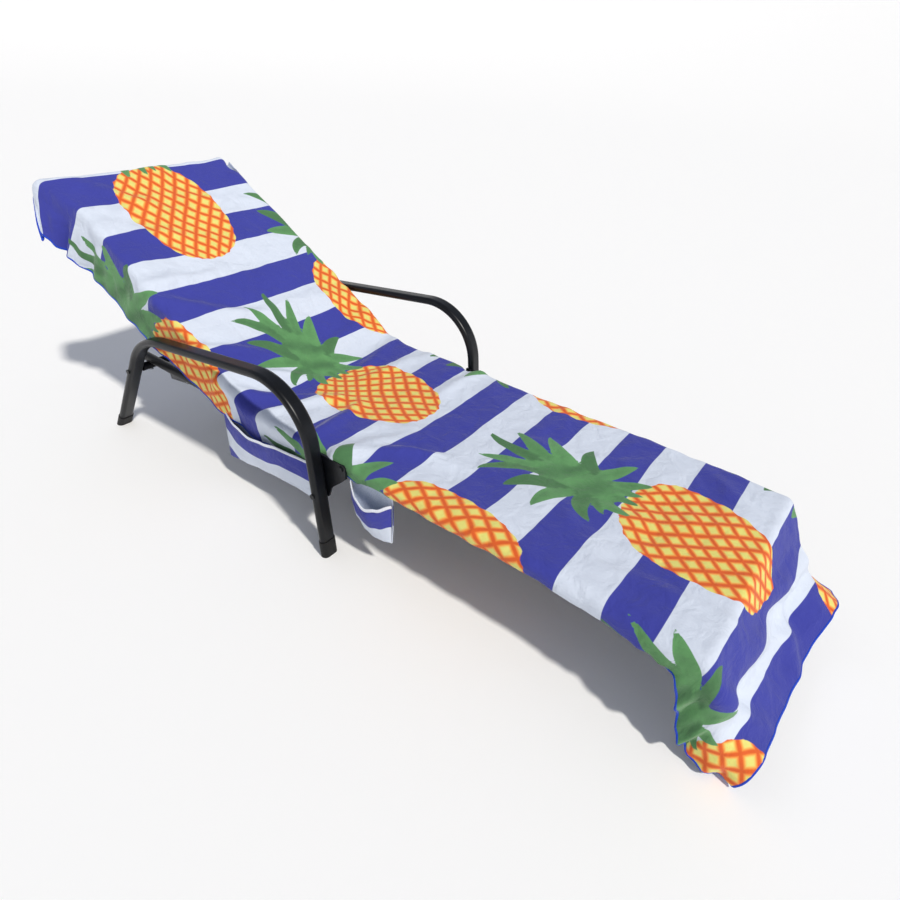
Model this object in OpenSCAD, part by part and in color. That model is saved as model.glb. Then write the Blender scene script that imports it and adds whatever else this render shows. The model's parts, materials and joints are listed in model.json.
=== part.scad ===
// Reclining sun lounger with arms, dressed in a fitted beach-towel cover.
// The head end is towards -X, the foot end towards +X, and the seat faces +Z.
// Right and left are those of a person lying on it, so right is -Y.

/* [Seat] */
// Height of the sling where it passes over the seat rails
seat_z = 275; // [260:1:290]
// Distance from the backrest hinge to the foot-end bar
seat_len = 1182; // [1050:1:1300]
// Distance from the centre line to each seat rail
rail_y = 265; // [255:1:280]
// Outer diameter of the seat rails and the foot-end bar
rail_d = 25; // [22:1:28]
// Radius of the rails' bends at the foot end
rail_bend_r = 60; // [45:1:80]
// Distance from the hinge back to the rails' rear ends
rail_tail = 452; // [446:1:460]
// Depth that each sling sags in its middle
sling_sag = 10; // [4:1:11]

/* [Arms] */
// Width of the flat-oval arm tube
arm_w = 40; // [34:1:46]
// Thickness of the flat-oval arm tube
arm_t = 20; // [18:1:24]
// Front feet, ahead of the hinge
front_foot_x = 315; // [300:1:330]
// Centre of the front bend, ahead of the hinge
front_bend_x = 134; // [120:1:145]
// Height of the front bend's centre
front_bend_z = 279; // [265:1:300]
// Radius of the front bend
front_bend_r = 150; // [130:1:160]
// Rear feet, behind the hinge
rear_foot_x = 585; // [570:1:600]
// Centre of the rear bend, behind the hinge
rear_bend_x = 234; // [225:1:245]
// Height of the rear bend's centre
rear_bend_z = 176; // [165:1:190]
// Radius of the rear bend
rear_bend_r = 200; // [180:1:205]

/* [Backrest] */
// Angle of the backrest above the seat
recline = 31.6; // [0:0.1:65]
// Distance from the hinge to the top bar
back_len = 780; // [740:1:820]
// Outer diameter of the backrest tubes
back_d = 22; // [20:1:22]
// Distance from the hinge to the prop's pivot, and length of the prop
prop_len = 220; // [215:1:225]
// Slope of the rack plates, down towards the head end
rack_slope = 9.5; // [9:0.1:10]

/* [Foot legs] */
// Where the foot legs meet the rails, ahead of the hinge
foot_leg_top_x = 1138; // [1120:1:1145]
// Where the foot legs stand, ahead of the hinge
foot_leg_x = 1255; // [1230:1:1270]
// Outer diameter of the foot legs
foot_leg_d = 25; // [22:1:25]

/* [Towel] */
// Thickness of the towel cover
towel_t = 4.5; // [3:0.5:5]
// Distance that the cover hangs out beyond the foot-end bar
drop_reach = 150; // [120:1:170]
// Height of the cover's hem above the floor at the foot end
drop_z = 16; // [12:1:40]
// Depth of the hood that slips over the backrest
hood_depth = 235; // [180:1:240]
// Height of the side pockets' bottom edge
pocket_z = 104; // [90:1:120]
// Height of the side pockets' mouths
pocket_mouth_z = 226; // [200:1:235]

/* [Hidden] */
$fn = 48;

tube_wall = 1.5;
sling_t = 1.5;
sling_ease = 0.1;           // keeps a sling's flat facets off the round tubes
sling_wrap = 40;            // angle above the horizontal at which a sling's edge ends
rail_z = seat_z - sling_t - rail_d / 2;
hinge_z = rail_z;

cross_d = 22;
cross_z = rail_z - 11;      // the cross tubes sit low, clear of the sagging sling
hinge_cross_x = 60;
arm_cross_x = 330;
knee_cross_x = 740;
rear_cross_z = rail_z - rail_d / 2 - cross_d / 2;

arm_gap = 12.5;             // between a rail's side and the arm tube
arm_y = rail_y + rail_d / 2 + arm_gap + arm_w / 2;
arm_in_y = arm_y - arm_w / 2;
front_foot = [front_foot_x, 0];
front_centre = [front_bend_x, front_bend_z];
rear_centre = [-rear_bend_x, rear_bend_z];
rear_foot = [-rear_foot_x, 0];
foot_lift = 16;             // length of plastic below the end of a leg tube
foot_sleeve = 44;
foot_wall = 2;

foot_leg_y = rail_y - 14;
foot_leg_foot = [foot_leg_x, 0];
foot_leg_top = [foot_leg_top_x, rail_z];
foot_bar_z = 62;

bolt_r = 4;
small_bolt_r = 3;
head_t = 3;
head_r = 7;
bracket_t = 6;
boss_r = 8;
bracket_z = 178;            // height of the bolt through the front leg
bracket_x = 350;            // the bolt through the rail

side_gap = 1.5;             // between a rail and the backrest tube inside it
back_y = rail_y - rail_d / 2 - side_gap - back_d / 2;
back_bend_r = 60;
bush_r = 6;
run_gap = 0.05;             // running clearance on the radius of a pin
cross_bar_s = [300, 540];
cross_bar_r = 6;
cross_bar_drop = 6;         // the backrest's cross bars sit low, clear of the sagging sling
alpha = recline + rack_slope;

prop_t = 5;
prop_w = 16;
prop_y = back_y - back_d / 2 - 2 - prop_t;
prop_bar_d = 12;
rack_t = 4;
rack_y = prop_y - 18;
rack_angles = [0, 15, 31.6, 48, 65];
slot_end = 9;               // slot length past the prop bar's last places

drop_r = rail_d / 2 + sling_t + 1.5;
drop_turn = atan2(rail_z - drop_z, drop_reach - drop_r);
drop_steps = 10;
cover_z = seat_z + 1;
cover_lip = 4;              // how far the cover turns down past the top of the sling
cover_y = rail_y + rail_d / 2 + 2;
back_cover_y = back_y + back_d / 2 + 15;
back_cover_z = back_d / 2 + sling_t + 1;
hood_gap = 2.5;
hood_end = back_len + back_d / 2 + 4;
hood_y = back_y + back_d / 2 + 3;
hood_t = 4;

pocket_y = arm_in_y - 4.5;
pocket_in_y = rail_y;
pocket_t = 2.5;
pocket_span = [-66, 262];
end_pocket_span = [374, 500];
binding_t = 3;

// The whole object is centred over its own length
head_reach = (hood_end + hood_t) * cos(recline) + (back_d / 2 + hood_gap + hood_t) * sin(recline);
foot_reach = seat_len + drop_reach + towel_t / 2;
hinge_x = (head_reach - foot_reach) / 2;

function unit(v) = v / norm(v);
function heading(v) = atan2(v[1], v[0]);
function towards(angle) = [cos(angle), sin(angle)];
function leg_x(foot, up, z) = foot[0] + up[0] * z / up[1];

// Heading of the line from the point p that touches the circle at c, with the circle on its right
// for a side of 1 and on its left for a side of -1
function tangent_heading(p, c, r, side) = heading(c - p) + side * asin(r / norm(c - p));
function tangent_length(p, c, r) = sqrt(norm(c - p) ^ 2 - r ^ 2);

rear_up_angle = tangent_heading(rear_foot, rear_centre, rear_bend_r, 1);
front_up_angle = tangent_heading(front_foot, front_centre, front_bend_r, -1);
rear_up = towards(rear_up_angle);
front_up = towards(front_up_angle);
bend_span = front_centre - rear_centre;
armrest_angle = heading(bend_span) - asin((rear_bend_r - front_bend_r) / norm(bend_span));
armrest_len = bend_span * towards(armrest_angle);
rear_cross_x = -leg_x(rear_foot, rear_up, rear_cross_z);

// ---- helpers ----

// Seat frame: X is measured from the hinge, Z from the floor
module on_seat() translate([hinge_x, 0, 0]) children();

// Backrest, drawn lying flat behind its hinge and then raised
module on_back() translate([hinge_x, 0, hinge_z]) rotate([0, recline, 0]) children();

// Prop, drawn in line with the backrest beyond its pivot and then folded down
module on_prop() on_back() translate([-prop_len, 0, 0]) rotate([0, -2 * alpha, 0]) children();

// Rack, drawn level along -X from the hinge and then sloped down
module on_rack() translate([hinge_x, 0, hinge_z]) rotate([0, -rack_slope, 0]) children();

module both_sides() {
    children();
    mirror([0, 1, 0]) children();
}

// Round bar across the object from y0 to y1
module bar_y(x, z, y0, y1, r) translate([x, y0, z]) rotate([-90, 0, 0]) cylinder(h = y1 - y0, r = r);

// Plate outlined in XZ and thick along Y, from y0 to y1
module plate_y(y0, y1) translate([0, y1, 0]) rotate([90, 0, 0]) linear_extrude(y1 - y0) children();

// Flat oval, thin along X and wide along Y
module oval(t, w) {
    square([t, w - t], center = true);
    for (side = [-1, 1]) translate([0, side * (w - t) / 2]) circle(d = t);
}

// Straight run of a flat-oval bar in the XZ plane
module oval_run(p, q, t, w) {
    translate([p[0], 0, p[1]]) rotate([0, 90 - heading(q - p), 0])
        linear_extrude(norm(q - p)) oval(t, w);
}

// Bend of a flat-oval bar round the centre c in the XZ plane, with straight runs off its two ends
module oval_bend(c, r, angle_in, angle_out, run_in, run_out, t, w) {
    translate([c[0], 0, c[1]]) rotate([90, 0, 0]) {
        rotate([0, 0, angle_out + 90]) {
            rotate_extrude(angle = angle_in - angle_out) translate([r, 0]) oval(t, w);
            translate([r, 0, 0]) rotate([90, 0, 0]) linear_extrude(run_out) oval(t, w);
        }
        rotate([0, 0, angle_in + 90]) translate([r, 0, 0]) rotate([-90, 0, 0])
            linear_extrude(run_in) oval(t, w);
    }
}

// Rear leg, armrest and front leg in one bar, with its ends moved out by extra
module arm_bar(t, w, extra) {
    rear_run = tangent_length(rear_foot, rear_centre, rear_bend_r) - foot_lift + extra;
    front_run = tangent_length(front_foot, front_centre, front_bend_r) - foot_lift + extra;
    oval_bend(rear_centre, rear_bend_r, rear_up_angle, armrest_angle, rear_run, armrest_len / 2, t, w);
    oval_bend(front_centre, front_bend_r, armrest_angle, front_up_angle - 180,
        armrest_len / 2, front_run, t, w);
}

// Straight tube with a quarter bend at its far end, in the XY plane, on the right
module bent_rail(x0, x1, y, d, bend_r) {
    translate([x0, -y, 0]) rotate([0, 90, 0]) cylinder(h = x1 - bend_r - x0, d = d);
    translate([x1 - bend_r, -y + bend_r, 0]) rotate([0, 0, -90])
        rotate_extrude(angle = 90) translate([bend_r, 0]) circle(d = d);
}

// Sling section across the object: a sagging sheet that wraps both tubes, drawn in YZ
module sling_section(y, d) {
    steps = 24;
    turn = [for (k = [0:5]) sling_wrap + (90 - sling_wrap) * k / 5];
    function over(r, side) = [for (a = turn) [side * (y + r * cos(a)), r * sin(a)]];
    function sag(z) = [for (k = [1:steps - 1]) let (u = -y + 2 * y * k / steps)
        [u, z - sling_sag * (1 + cos(180 * u / y)) / 2]];
    function back_to_front(list) = [for (k = [len(list) - 1:-1:0]) list[k]];
    outer = d / 2 + sling_t;
    inner = d / 2 + sling_ease;
    polygon(concat(
        over(outer, -1), sag(outer), back_to_front(over(outer, 1)),
        over(inner, 1), back_to_front(sag(inner)), back_to_front(over(inner, -1))));
}

// Extrudes a YZ section along X from x0 to x1
module along_x(x0, x1) translate([x0, 0, 0]) rotate([90, 0, 90]) linear_extrude(x1 - x0) children();

// ---- seat frame ----

module seat_rail() on_seat() translate([0, 0, rail_z]) difference() {
    bent_rail(-rail_tail, seat_len, rail_y, rail_d, rail_bend_r);
    bent_rail(-rail_tail - 1, seat_len, rail_y, rail_d - 2 * tube_wall, rail_bend_r);
    bar_y(0, 0, -rail_y - 8, -rail_y + rail_d, bolt_r);
    bar_y(bracket_x, 0, -rail_y - rail_d, -rail_y + rail_d, small_bolt_r);
    translate([-rear_cross_x, -rail_y, -rail_d]) cylinder(h = rail_d, r = small_bolt_r);
    translate([seat_len, -rail_y + rail_bend_r, 0]) rotate([-90, 0, 0]) cylinder(h = 1, d = rail_d);
}
module seat_rail_right() color([0.06, 0.06, 0.07]) seat_rail();
module seat_rail_left() color([0.06, 0.06, 0.07]) mirror([0, 1, 0]) seat_rail();

module foot_end_bar() color([0.06, 0.06, 0.07]) on_seat() {
    y = rail_y - rail_bend_r;
    difference() {
        bar_y(seat_len, rail_z, -y, y, rail_d / 2);
        bar_y(seat_len, rail_z, -y - 1, y + 1, rail_d / 2 - tube_wall);
    }
}

module rail_connectors() color([0.6, 0.6, 0.62]) on_seat() both_sides()
     bar_y(seat_len, rail_z, -rail_y + rail_bend_r + 0.5, -rail_y + rail_bend_r + 55,
         rail_d / 2 - tube_wall);

module rail_end_plugs() color([0.08, 0.08, 0.08]) on_seat() both_sides()
    translate([-rail_tail, -rail_y, rail_z]) rotate([0, 90, 0]) {
        translate([0, 0, -3]) cylinder(h = 3, d = rail_d);
        cylinder(h = 9, d = rail_d - 2 * tube_wall);
    }

module cross_tube(x) on_seat() difference() {
    bar_y(x, cross_z, -rail_y + 4, rail_y - 4, cross_d / 2);
    bar_y(x, cross_z, -rail_y, rail_y, cross_d / 2 - tube_wall);
    for (side = [-1, 1]) translate([x - cross_d, side * rail_y, rail_z]) rotate([0, 90, 0])
        cylinder(h = 2 * cross_d, d = rail_d);
}

module hinge_cross_tube() color([0.06, 0.06, 0.07]) cross_tube(hinge_cross_x);
module arm_cross_tube() color([0.06, 0.06, 0.07]) cross_tube(arm_cross_x);
module knee_cross_tube() color([0.06, 0.06, 0.07]) cross_tube(knee_cross_x);

module rear_cross_tube() color([0.06, 0.06, 0.07]) on_seat() difference() {
    bar_y(-rear_cross_x, rear_cross_z, -arm_in_y, arm_in_y, cross_d / 2);
    bar_y(-rear_cross_x, rear_cross_z, -arm_in_y + 20, arm_in_y - 20, cross_d / 2 - tube_wall);
    bar_y(-rear_cross_x, rear_cross_z, -arm_in_y - 1, arm_in_y + 1, small_bolt_r);
    for (side = [-1, 1]) translate([-rear_cross_x, side * rail_y, rear_cross_z - cross_d])
        cylinder(h = 2 * cross_d, r = small_bolt_r);
}

module rear_rail_bolts() color([0.55, 0.55, 0.57]) on_seat() both_sides()
    translate([-rear_cross_x, -rail_y, rear_cross_z - cross_d / 2 - head_t]) {
        cylinder(h = head_t, r = head_r - 1);
        cylinder(h = head_t + cross_d + 8, r = small_bolt_r);
    }

// ---- arms ----

module arm_frame() on_seat() difference() {
    translate([0, -arm_y, 0]) arm_bar(arm_t, arm_w, 0);
    translate([0, -arm_y, 0]) arm_bar(arm_t - 2 * tube_wall, arm_w - 2 * tube_wall, 1);
    bar_y(leg_x(front_foot, front_up, bracket_z), bracket_z, -arm_y - arm_w, -arm_y + arm_w, small_bolt_r);
    bar_y(-rear_cross_x, rear_cross_z, -arm_y - arm_w, -arm_y + arm_w, small_bolt_r);
}

module arm_frame_right() color([0.05, 0.05, 0.06]) arm_frame();
module arm_frame_left() color([0.05, 0.05, 0.06]) mirror([0, 1, 0]) arm_frame();

// Plate on the front leg's inner side, with a boss that meets the rail
module arm_bracket() on_seat() {
    leg_low = leg_x(front_foot, front_up, bracket_z);
    leg_high = leg_x(front_foot, front_up, rail_z);
    difference() {
        union() {
            plate_y(-arm_in_y, -arm_in_y + bracket_t) polygon([
                [leg_low - 11, bracket_z - 16], [leg_low + 9, bracket_z - 18],
                [leg_low + 19, bracket_z + 12], [bracket_x + 4, rail_z - 34],
                [bracket_x + 14, rail_z - 22], [bracket_x + 14, rail_z + 6],
                [bracket_x + 8, rail_z + 12], [leg_high - 9, rail_z + 12]]);
            for (x = [leg_high + 8, bracket_x])
                bar_y(x, rail_z, -arm_in_y + bracket_t, -rail_y, boss_r);
        }
        bar_y(leg_low, bracket_z, -arm_in_y - 1, -rail_y, small_bolt_r);
        bar_y(bracket_x, rail_z, -arm_in_y - 1, -rail_y, small_bolt_r);
        translate([leg_high - 20, -rail_y, rail_z]) rotate([0, 90, 0]) cylinder(h = 110, d = rail_d);
    }
}

module arm_bracket_right() color([0.05, 0.05, 0.06]) arm_bracket();
module arm_bracket_left() color([0.05, 0.05, 0.06]) mirror([0, 1, 0]) arm_bracket();

module arm_bolts() color([0.7, 0.7, 0.72]) on_seat() both_sides() {
    x = leg_x(front_foot, front_up, bracket_z);
    bar_y(x, bracket_z, -arm_y - arm_w / 2 - head_t, -arm_y - arm_w / 2, head_r);
    bar_y(x, bracket_z, -arm_y - arm_w / 2, -arm_in_y + bracket_t + 5, small_bolt_r);
}

module bracket_bolts() color([0.55, 0.55, 0.57]) on_seat() both_sides() {
    bar_y(bracket_x, rail_z, -arm_in_y - head_t, -arm_in_y, head_r);
    bar_y(bracket_x, rail_z, -arm_in_y, -rail_y + rail_d / 2 + 5, small_bolt_r);
}

// Nuts on the arm bolts and on the bracket bolts
module bolt_nuts() color([0.55, 0.55, 0.57]) on_seat() both_sides() {
    x = leg_x(front_foot, front_up, bracket_z);
    difference() {
        union() {
            bar_y(x, bracket_z, -arm_in_y + bracket_t, -arm_in_y + bracket_t + 5, 5.5);
            bar_y(bracket_x, rail_z, -rail_y + rail_d / 2, -rail_y + rail_d / 2 + 5, 5.5);
        }
        bar_y(x, bracket_z, -arm_in_y, -arm_in_y + bracket_t + 6, small_bolt_r);
        bar_y(bracket_x, rail_z, -arm_in_y, -rail_y + rail_d / 2 + 6, small_bolt_r);
    }
}

module rear_leg_bolts() color([0.7, 0.7, 0.72]) on_seat() both_sides() {
    bar_y(-rear_cross_x, rear_cross_z, -arm_y - arm_w / 2 - head_t, -arm_y - arm_w / 2, head_r);
    bar_y(-rear_cross_x, rear_cross_z, -arm_y - arm_w / 2, -arm_in_y + 18, small_bolt_r);
}

// Plastic foot that sleeves the end of a leg and is flat on the floor
module arm_foot(foot, up) on_seat() {
    translate([0, -arm_y, 0]) intersection() {
        difference() {
            oval_run(foot - up * arm_t, foot + up * foot_sleeve,
                arm_t + 2 * foot_wall, arm_w + 2 * foot_wall);
            oval_run(foot + up * foot_lift, foot + up * (foot_sleeve + 1), arm_t, arm_w);
        }
        translate([foot[0] - 100, -50, 0]) cube([200, 100, 100]);
    }
}

module front_foot_right() color([0.08, 0.08, 0.08]) arm_foot(front_foot, front_up);
module front_foot_left() color([0.08, 0.08, 0.08]) mirror([0, 1, 0]) arm_foot(front_foot, front_up);
module rear_foot_right() color([0.08, 0.08, 0.08]) arm_foot(rear_foot, rear_up);
module rear_foot_left() color([0.08, 0.08, 0.08]) mirror([0, 1, 0]) arm_foot(rear_foot, rear_up);

// ---- foot legs ----

// Round bar along a foot leg, from distance a above its foot to distance b
module foot_leg_bar_run(a, b, d) {
    up = unit(foot_leg_top - foot_leg_foot);
    p = foot_leg_foot + up * a;
    translate([p[0], -foot_leg_y, p[1]]) rotate([0, 90 - heading(up), 0]) cylinder(h = b - a, d = d);
}

module foot_leg() on_seat() difference() {
    foot_leg_bar_run(foot_lift, norm(foot_leg_top - foot_leg_foot), foot_leg_d);
    foot_leg_bar_run(foot_lift - 1, norm(foot_leg_top - foot_leg_foot) + 1, foot_leg_d - 2 * tube_wall);
    translate([0, 0, rail_z]) bent_rail(foot_leg_top_x - 200, seat_len, rail_y, rail_d, rail_bend_r);
    translate([foot_leg_top_x - 60, -rail_y, rail_z]) cube([120, 60, 30]);
}

module foot_leg_right() color([0.06, 0.06, 0.07]) foot_leg();
module foot_leg_left() color([0.06, 0.06, 0.07]) mirror([0, 1, 0]) foot_leg();

module foot_leg_bar() color([0.06, 0.06, 0.07]) on_seat() {
    x = leg_x(foot_leg_foot, foot_leg_top - foot_leg_foot, foot_bar_z);
    difference() {
        bar_y(x, foot_bar_z, -foot_leg_y, foot_leg_y, cross_d / 2);
        bar_y(x, foot_bar_z, -foot_leg_y - 1, foot_leg_y + 1, cross_d / 2 - tube_wall);
        both_sides() foot_leg_bar_run(0, 200, foot_leg_d);
    }
}

// Plates that brace the foot legs against the rails
module foot_leg_gussets() color([0.06, 0.06, 0.07]) on_seat() both_sides() difference() {
    plate_y(-foot_leg_y - 2, -foot_leg_y + 2) polygon([
        [foot_leg_top_x - 66, rail_z - 4], [foot_leg_top_x + 8, rail_z - 4],
        [foot_leg_top_x + 34, rail_z - 74], [foot_leg_top_x + 26, rail_z - 74]]);
    translate([0, 0, rail_z]) bent_rail(foot_leg_top_x - 200, seat_len, rail_y, rail_d, rail_bend_r);
    foot_leg_bar_run(0, norm(foot_leg_top - foot_leg_foot) + 40, foot_leg_d);
}

module foot_leg_shoe() on_seat() intersection() {
    difference() {
        foot_leg_bar_run(-foot_leg_d, foot_sleeve, foot_leg_d + 2 * foot_wall);
        foot_leg_bar_run(foot_lift, foot_sleeve + 1, foot_leg_d);
    }
    translate([foot_leg_x - 100, -foot_leg_y - 50, 0]) cube([200, 100, 100]);
}

module foot_leg_shoe_right() color([0.08, 0.08, 0.08]) foot_leg_shoe();
module foot_leg_shoe_left() color([0.08, 0.08, 0.08]) mirror([0, 1, 0]) foot_leg_shoe();

// ---- recliner racks and hinge ----

// How far along the rack the prop bar lies at a backrest angle
function bar_place(angle) = 2 * prop_len * cos(angle + rack_slope);

// Slotted plate that the prop bar runs through, with a notch for each position
module rack() {
    far = bar_place(0) + slot_end;
    near = bar_place(rack_angles[len(rack_angles) - 1]) - slot_end;
    tail = far + 16;
    difference() {
        on_rack() plate_y(-rack_y, -rack_y + rack_t) difference() {
            polygon([
                [hinge_cross_x + 12, -6], [hinge_cross_x + 12, -24], [hinge_cross_x - 20, -24],
                [-tail, -24], [-tail, 44], [-tail + 34, 44], [-tail + 50, 16],
                [-near, 16], [-near + 40, 2]]);
            translate([-far, -6.8]) square([far - near, 13.6]);
            for (s = [far, near]) translate([-s, 0]) circle(r = 6.8);
            for (a = rack_angles) translate([-bar_place(a), -6]) circle(r = 6.6);
        }
        on_seat() bar_y(hinge_cross_x, cross_z, -rail_y, rail_y, cross_d / 2);
        on_seat() bar_y(-rear_cross_x, rear_cross_z, -rail_y, rail_y, cross_d / 2);
    }
}

module rack_right() color([0.3, 0.3, 0.32]) rack();
module rack_left() color([0.3, 0.3, 0.32]) mirror([0, 1, 0]) rack();

module hinge_bolts() color([0.55, 0.55, 0.57]) on_seat() both_sides() {
    bar_y(0, hinge_z, -rail_y - 5, -back_y + back_d / 2 + 1.5, bolt_r);
    bar_y(0, hinge_z, -back_y + back_d / 2 + 1.5, -back_y + back_d / 2 + 6, head_r);
}

module hinge_washers() color([0.75, 0.75, 0.72]) on_seat() both_sides() difference() {
    bar_y(0, hinge_z, -back_y - back_d / 2 - 1.3, -back_y - back_d / 2 - 0.2, 9);
    bar_y(0, hinge_z, -rail_y, -back_y, bolt_r);
}

// ---- seat sling and cover ----

module seat_sling() color([0.16, 0.17, 0.19]) on_seat() translate([0, 0, rail_z])
    along_x(25, seat_len - rail_bend_r) sling_section(rail_y, rail_d);

// Cover over the seat, turned down over both rails
module towel_seat() color([0.3, 0.3, 0.7]) on_seat() along_x(25, seat_len) difference() {
    translate([-cover_y - towel_t, seat_z - cover_lip])
        square([2 * (cover_y + towel_t), cover_lip + cover_z - seat_z + towel_t]);
    translate([-cover_y, 0]) square([2 * cover_y, cover_z]);
}

// Points of the cover's turn round the foot-end bar, from its top down to the slope of the drop
function drop_arc(r) = [for (k = [0:drop_steps]) let (a = 90 - drop_turn * k / drop_steps)
    [seat_len + r * cos(a), rail_z + r * sin(a)]];

// Cover over the foot end, turning down and out to its hem
module towel_drop() color([0.85, 0.88, 0.95]) on_seat() {
    way = [cos(drop_turn), -sin(drop_turn)];
    inner = drop_arc(cover_z - rail_z);
    outer = drop_arc(cover_z - rail_z + towel_t);
    run = (inner[drop_steps][1] - drop_z) / sin(drop_turn);
    plate_y(-cover_y - towel_t, cover_y + towel_t) polygon(concat(
        outer, [outer[drop_steps] + way * run, inner[drop_steps] + way * run],
        [for (k = [drop_steps:-1:0]) inner[k]]));
}

// Open-topped pocket that hangs from the cover's side, between x0 and x1
module pocket(x0, x1) on_seat() translate([x0, -pocket_y, pocket_z]) difference() {
    wide = pocket_y - pocket_in_y + pocket_t;
    union() {
        cube([x1 - x0, wide, pocket_mouth_z - pocket_z]);
        translate([0, wide - pocket_t, 0]) cube([x1 - x0, pocket_t, rail_z - rail_d / 2 - 1 - pocket_z]);
    }
    translate([pocket_t, pocket_t, pocket_t])
        cube([x1 - x0 - 2 * pocket_t, wide - 2 * pocket_t, pocket_mouth_z]);
}

module side_pocket_right() color([0.2, 0.22, 0.55]) pocket(pocket_span[0], pocket_span[1]);
module side_pocket_left() color([0.2, 0.22, 0.55])
    mirror([0, 1, 0]) pocket(pocket_span[0], pocket_span[1]);
module end_pocket_right() color([0.2, 0.22, 0.55]) pocket(end_pocket_span[0], end_pocket_span[1]);
module end_pocket_left() color([0.2, 0.22, 0.55])
    mirror([0, 1, 0]) pocket(end_pocket_span[0], end_pocket_span[1]);

// White bindings sewn on the pockets' mouths
module pocket_bindings() color([0.95, 0.95, 0.97]) on_seat() both_sides()
    for (span = [pocket_span, end_pocket_span])
        translate([span[0], -pocket_y, pocket_mouth_z]) cube([span[1] - span[0], pocket_t, binding_t]);

// ---- backrest ----

module back_tube() on_back() difference() {
    mirror([1, 0, 0]) bent_rail(-12, back_len, back_y, back_d, back_bend_r);
    mirror([1, 0, 0]) bent_rail(-13, back_len, back_y, back_d - 2 * tube_wall, back_bend_r);
    bar_y(0, 0, -rail_y, -back_y + back_d, bush_r);
    bar_y(-prop_len, 0, -back_y - back_d / 2 + 2, -back_y + back_d, bolt_r);
}

module back_tube_right() color([0.06, 0.06, 0.07]) back_tube();
module back_tube_left() color([0.06, 0.06, 0.07]) mirror([0, 1, 0]) back_tube();

module back_top_bar() color([0.06, 0.06, 0.07]) on_back() {
    y = back_y - back_bend_r;
    difference() {
        bar_y(-back_len, 0, -y, y, back_d / 2);
        bar_y(-back_len, 0, -y - 1, y + 1, back_d / 2 - tube_wall);
    }
}

module back_cross_bars() color([0.06, 0.06, 0.07]) on_back() for (s = cross_bar_s) difference() {
    bar_y(-s, -cross_bar_drop, -back_y, back_y, cross_bar_r);
    bar_y(-s, -cross_bar_drop, -back_y - 1, back_y + 1, cross_bar_r - tube_wall);
    for (side = [-1, 1]) translate([-s - 20, side * back_y, 0])
        rotate([0, 90, 0]) cylinder(h = 40, d = back_d);
}

module back_connectors() color([0.6, 0.6, 0.62]) on_back() both_sides()
    bar_y(-back_len, 0, -back_y + back_bend_r + 0.5, -back_y + back_bend_r + 50, back_d / 2 - tube_wall);

module back_end_plugs() color([0.08, 0.08, 0.08]) on_back() both_sides()
    translate([12, -back_y, 0]) rotate([0, -90, 0]) {
        translate([0, 0, -2]) cylinder(h = 2, d = back_d);
        cylinder(h = 5, d = back_d - 2 * tube_wall);
    }

module hinge_bushes() color([0.85, 0.85, 0.8]) on_back() both_sides() difference() {
    bar_y(0, 0, -back_y - back_d / 2, -back_y + back_d / 2, bush_r);
    bar_y(0, 0, -rail_y, 0, bolt_r + run_gap);
}

module prop_pins() color([0.55, 0.55, 0.57]) on_back() both_sides() {
    bar_y(-prop_len, 0, -back_y - back_d / 2 + 2, -prop_y + prop_t + 0.3, bolt_r);
    bar_y(-prop_len, 0, -prop_y + prop_t + 0.3, -prop_y + prop_t + 2.8, head_r);
}

module back_sling() color([0.16, 0.17, 0.19]) on_back()
    along_x(-back_len + back_bend_r, -30) sling_section(back_y, back_d);

module towel_back() color([0.3, 0.3, 0.7]) on_back()
    translate([-hood_end, -back_cover_y, back_cover_z]) cube([hood_end - 34, 2 * back_cover_y, towel_t]);

// Hood sewn to the cover's head end: a top edge, a back panel and two side gussets
module towel_hood() color([0.85, 0.88, 0.95]) on_back() {
    z0 = -back_d / 2 - hood_gap - hood_t;
    translate([-hood_end - hood_t, -hood_y - hood_t, z0])
        cube([hood_t, 2 * (hood_y + hood_t), back_cover_z + towel_t - z0]);
    translate([-hood_end, -hood_y - hood_t, z0])
        cube([hood_depth, 2 * (hood_y + hood_t), hood_t]);
    both_sides() translate([-hood_end, -hood_y - hood_t, z0 + hood_t])
        cube([hood_depth, hood_t, back_cover_z - z0 - hood_t]);
}

// ---- prop ----

module prop_leg() on_prop() difference() {
    plate_y(-prop_y - prop_t, -prop_y) {
        translate([-prop_len, -prop_w / 2]) square([prop_len, prop_w]);
        for (s = [0, prop_len]) translate([-s, 0]) circle(d = prop_w);
    }
    bar_y(0, 0, -prop_y - 2 * prop_t, -prop_y + prop_t, bolt_r + run_gap);
    bar_y(-prop_len, 0, -prop_y - 2 * prop_t, -prop_y + prop_t, prop_bar_d / 2);
}

module prop_leg_right() color([0.06, 0.06, 0.07]) prop_leg();
module prop_leg_left() color([0.06, 0.06, 0.07]) mirror([0, 1, 0]) prop_leg();

module prop_bar() color([0.55, 0.55, 0.57]) on_prop()
    bar_y(-prop_len, 0, -prop_y - prop_t, prop_y + prop_t, prop_bar_d / 2);

seat_rail_right();
seat_rail_left();
foot_end_bar();
rail_connectors();
rail_end_plugs();
hinge_cross_tube();
arm_cross_tube();
knee_cross_tube();
rear_cross_tube();
rear_rail_bolts();
arm_frame_right();
arm_frame_left();
arm_bracket_right();
arm_bracket_left();
arm_bolts();
bracket_bolts();
bolt_nuts();
rear_leg_bolts();
front_foot_right();
front_foot_left();
rear_foot_right();
rear_foot_left();
foot_leg_right();
foot_leg_left();
foot_leg_bar();
foot_leg_gussets();
foot_leg_shoe_right();
foot_leg_shoe_left();
rack_right();
rack_left();
hinge_bolts();
hinge_washers();
seat_sling();
towel_seat();
towel_drop();
side_pocket_right();
side_pocket_left();
end_pocket_right();
end_pocket_left();
pocket_bindings();
back_tube_right();
back_tube_left();
back_top_bar();
back_cross_bars();
back_connectors();
back_end_plugs();
hinge_bushes();
prop_pins();
back_sling();
towel_back();
towel_hood();
prop_leg_right();
prop_leg_left();
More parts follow.
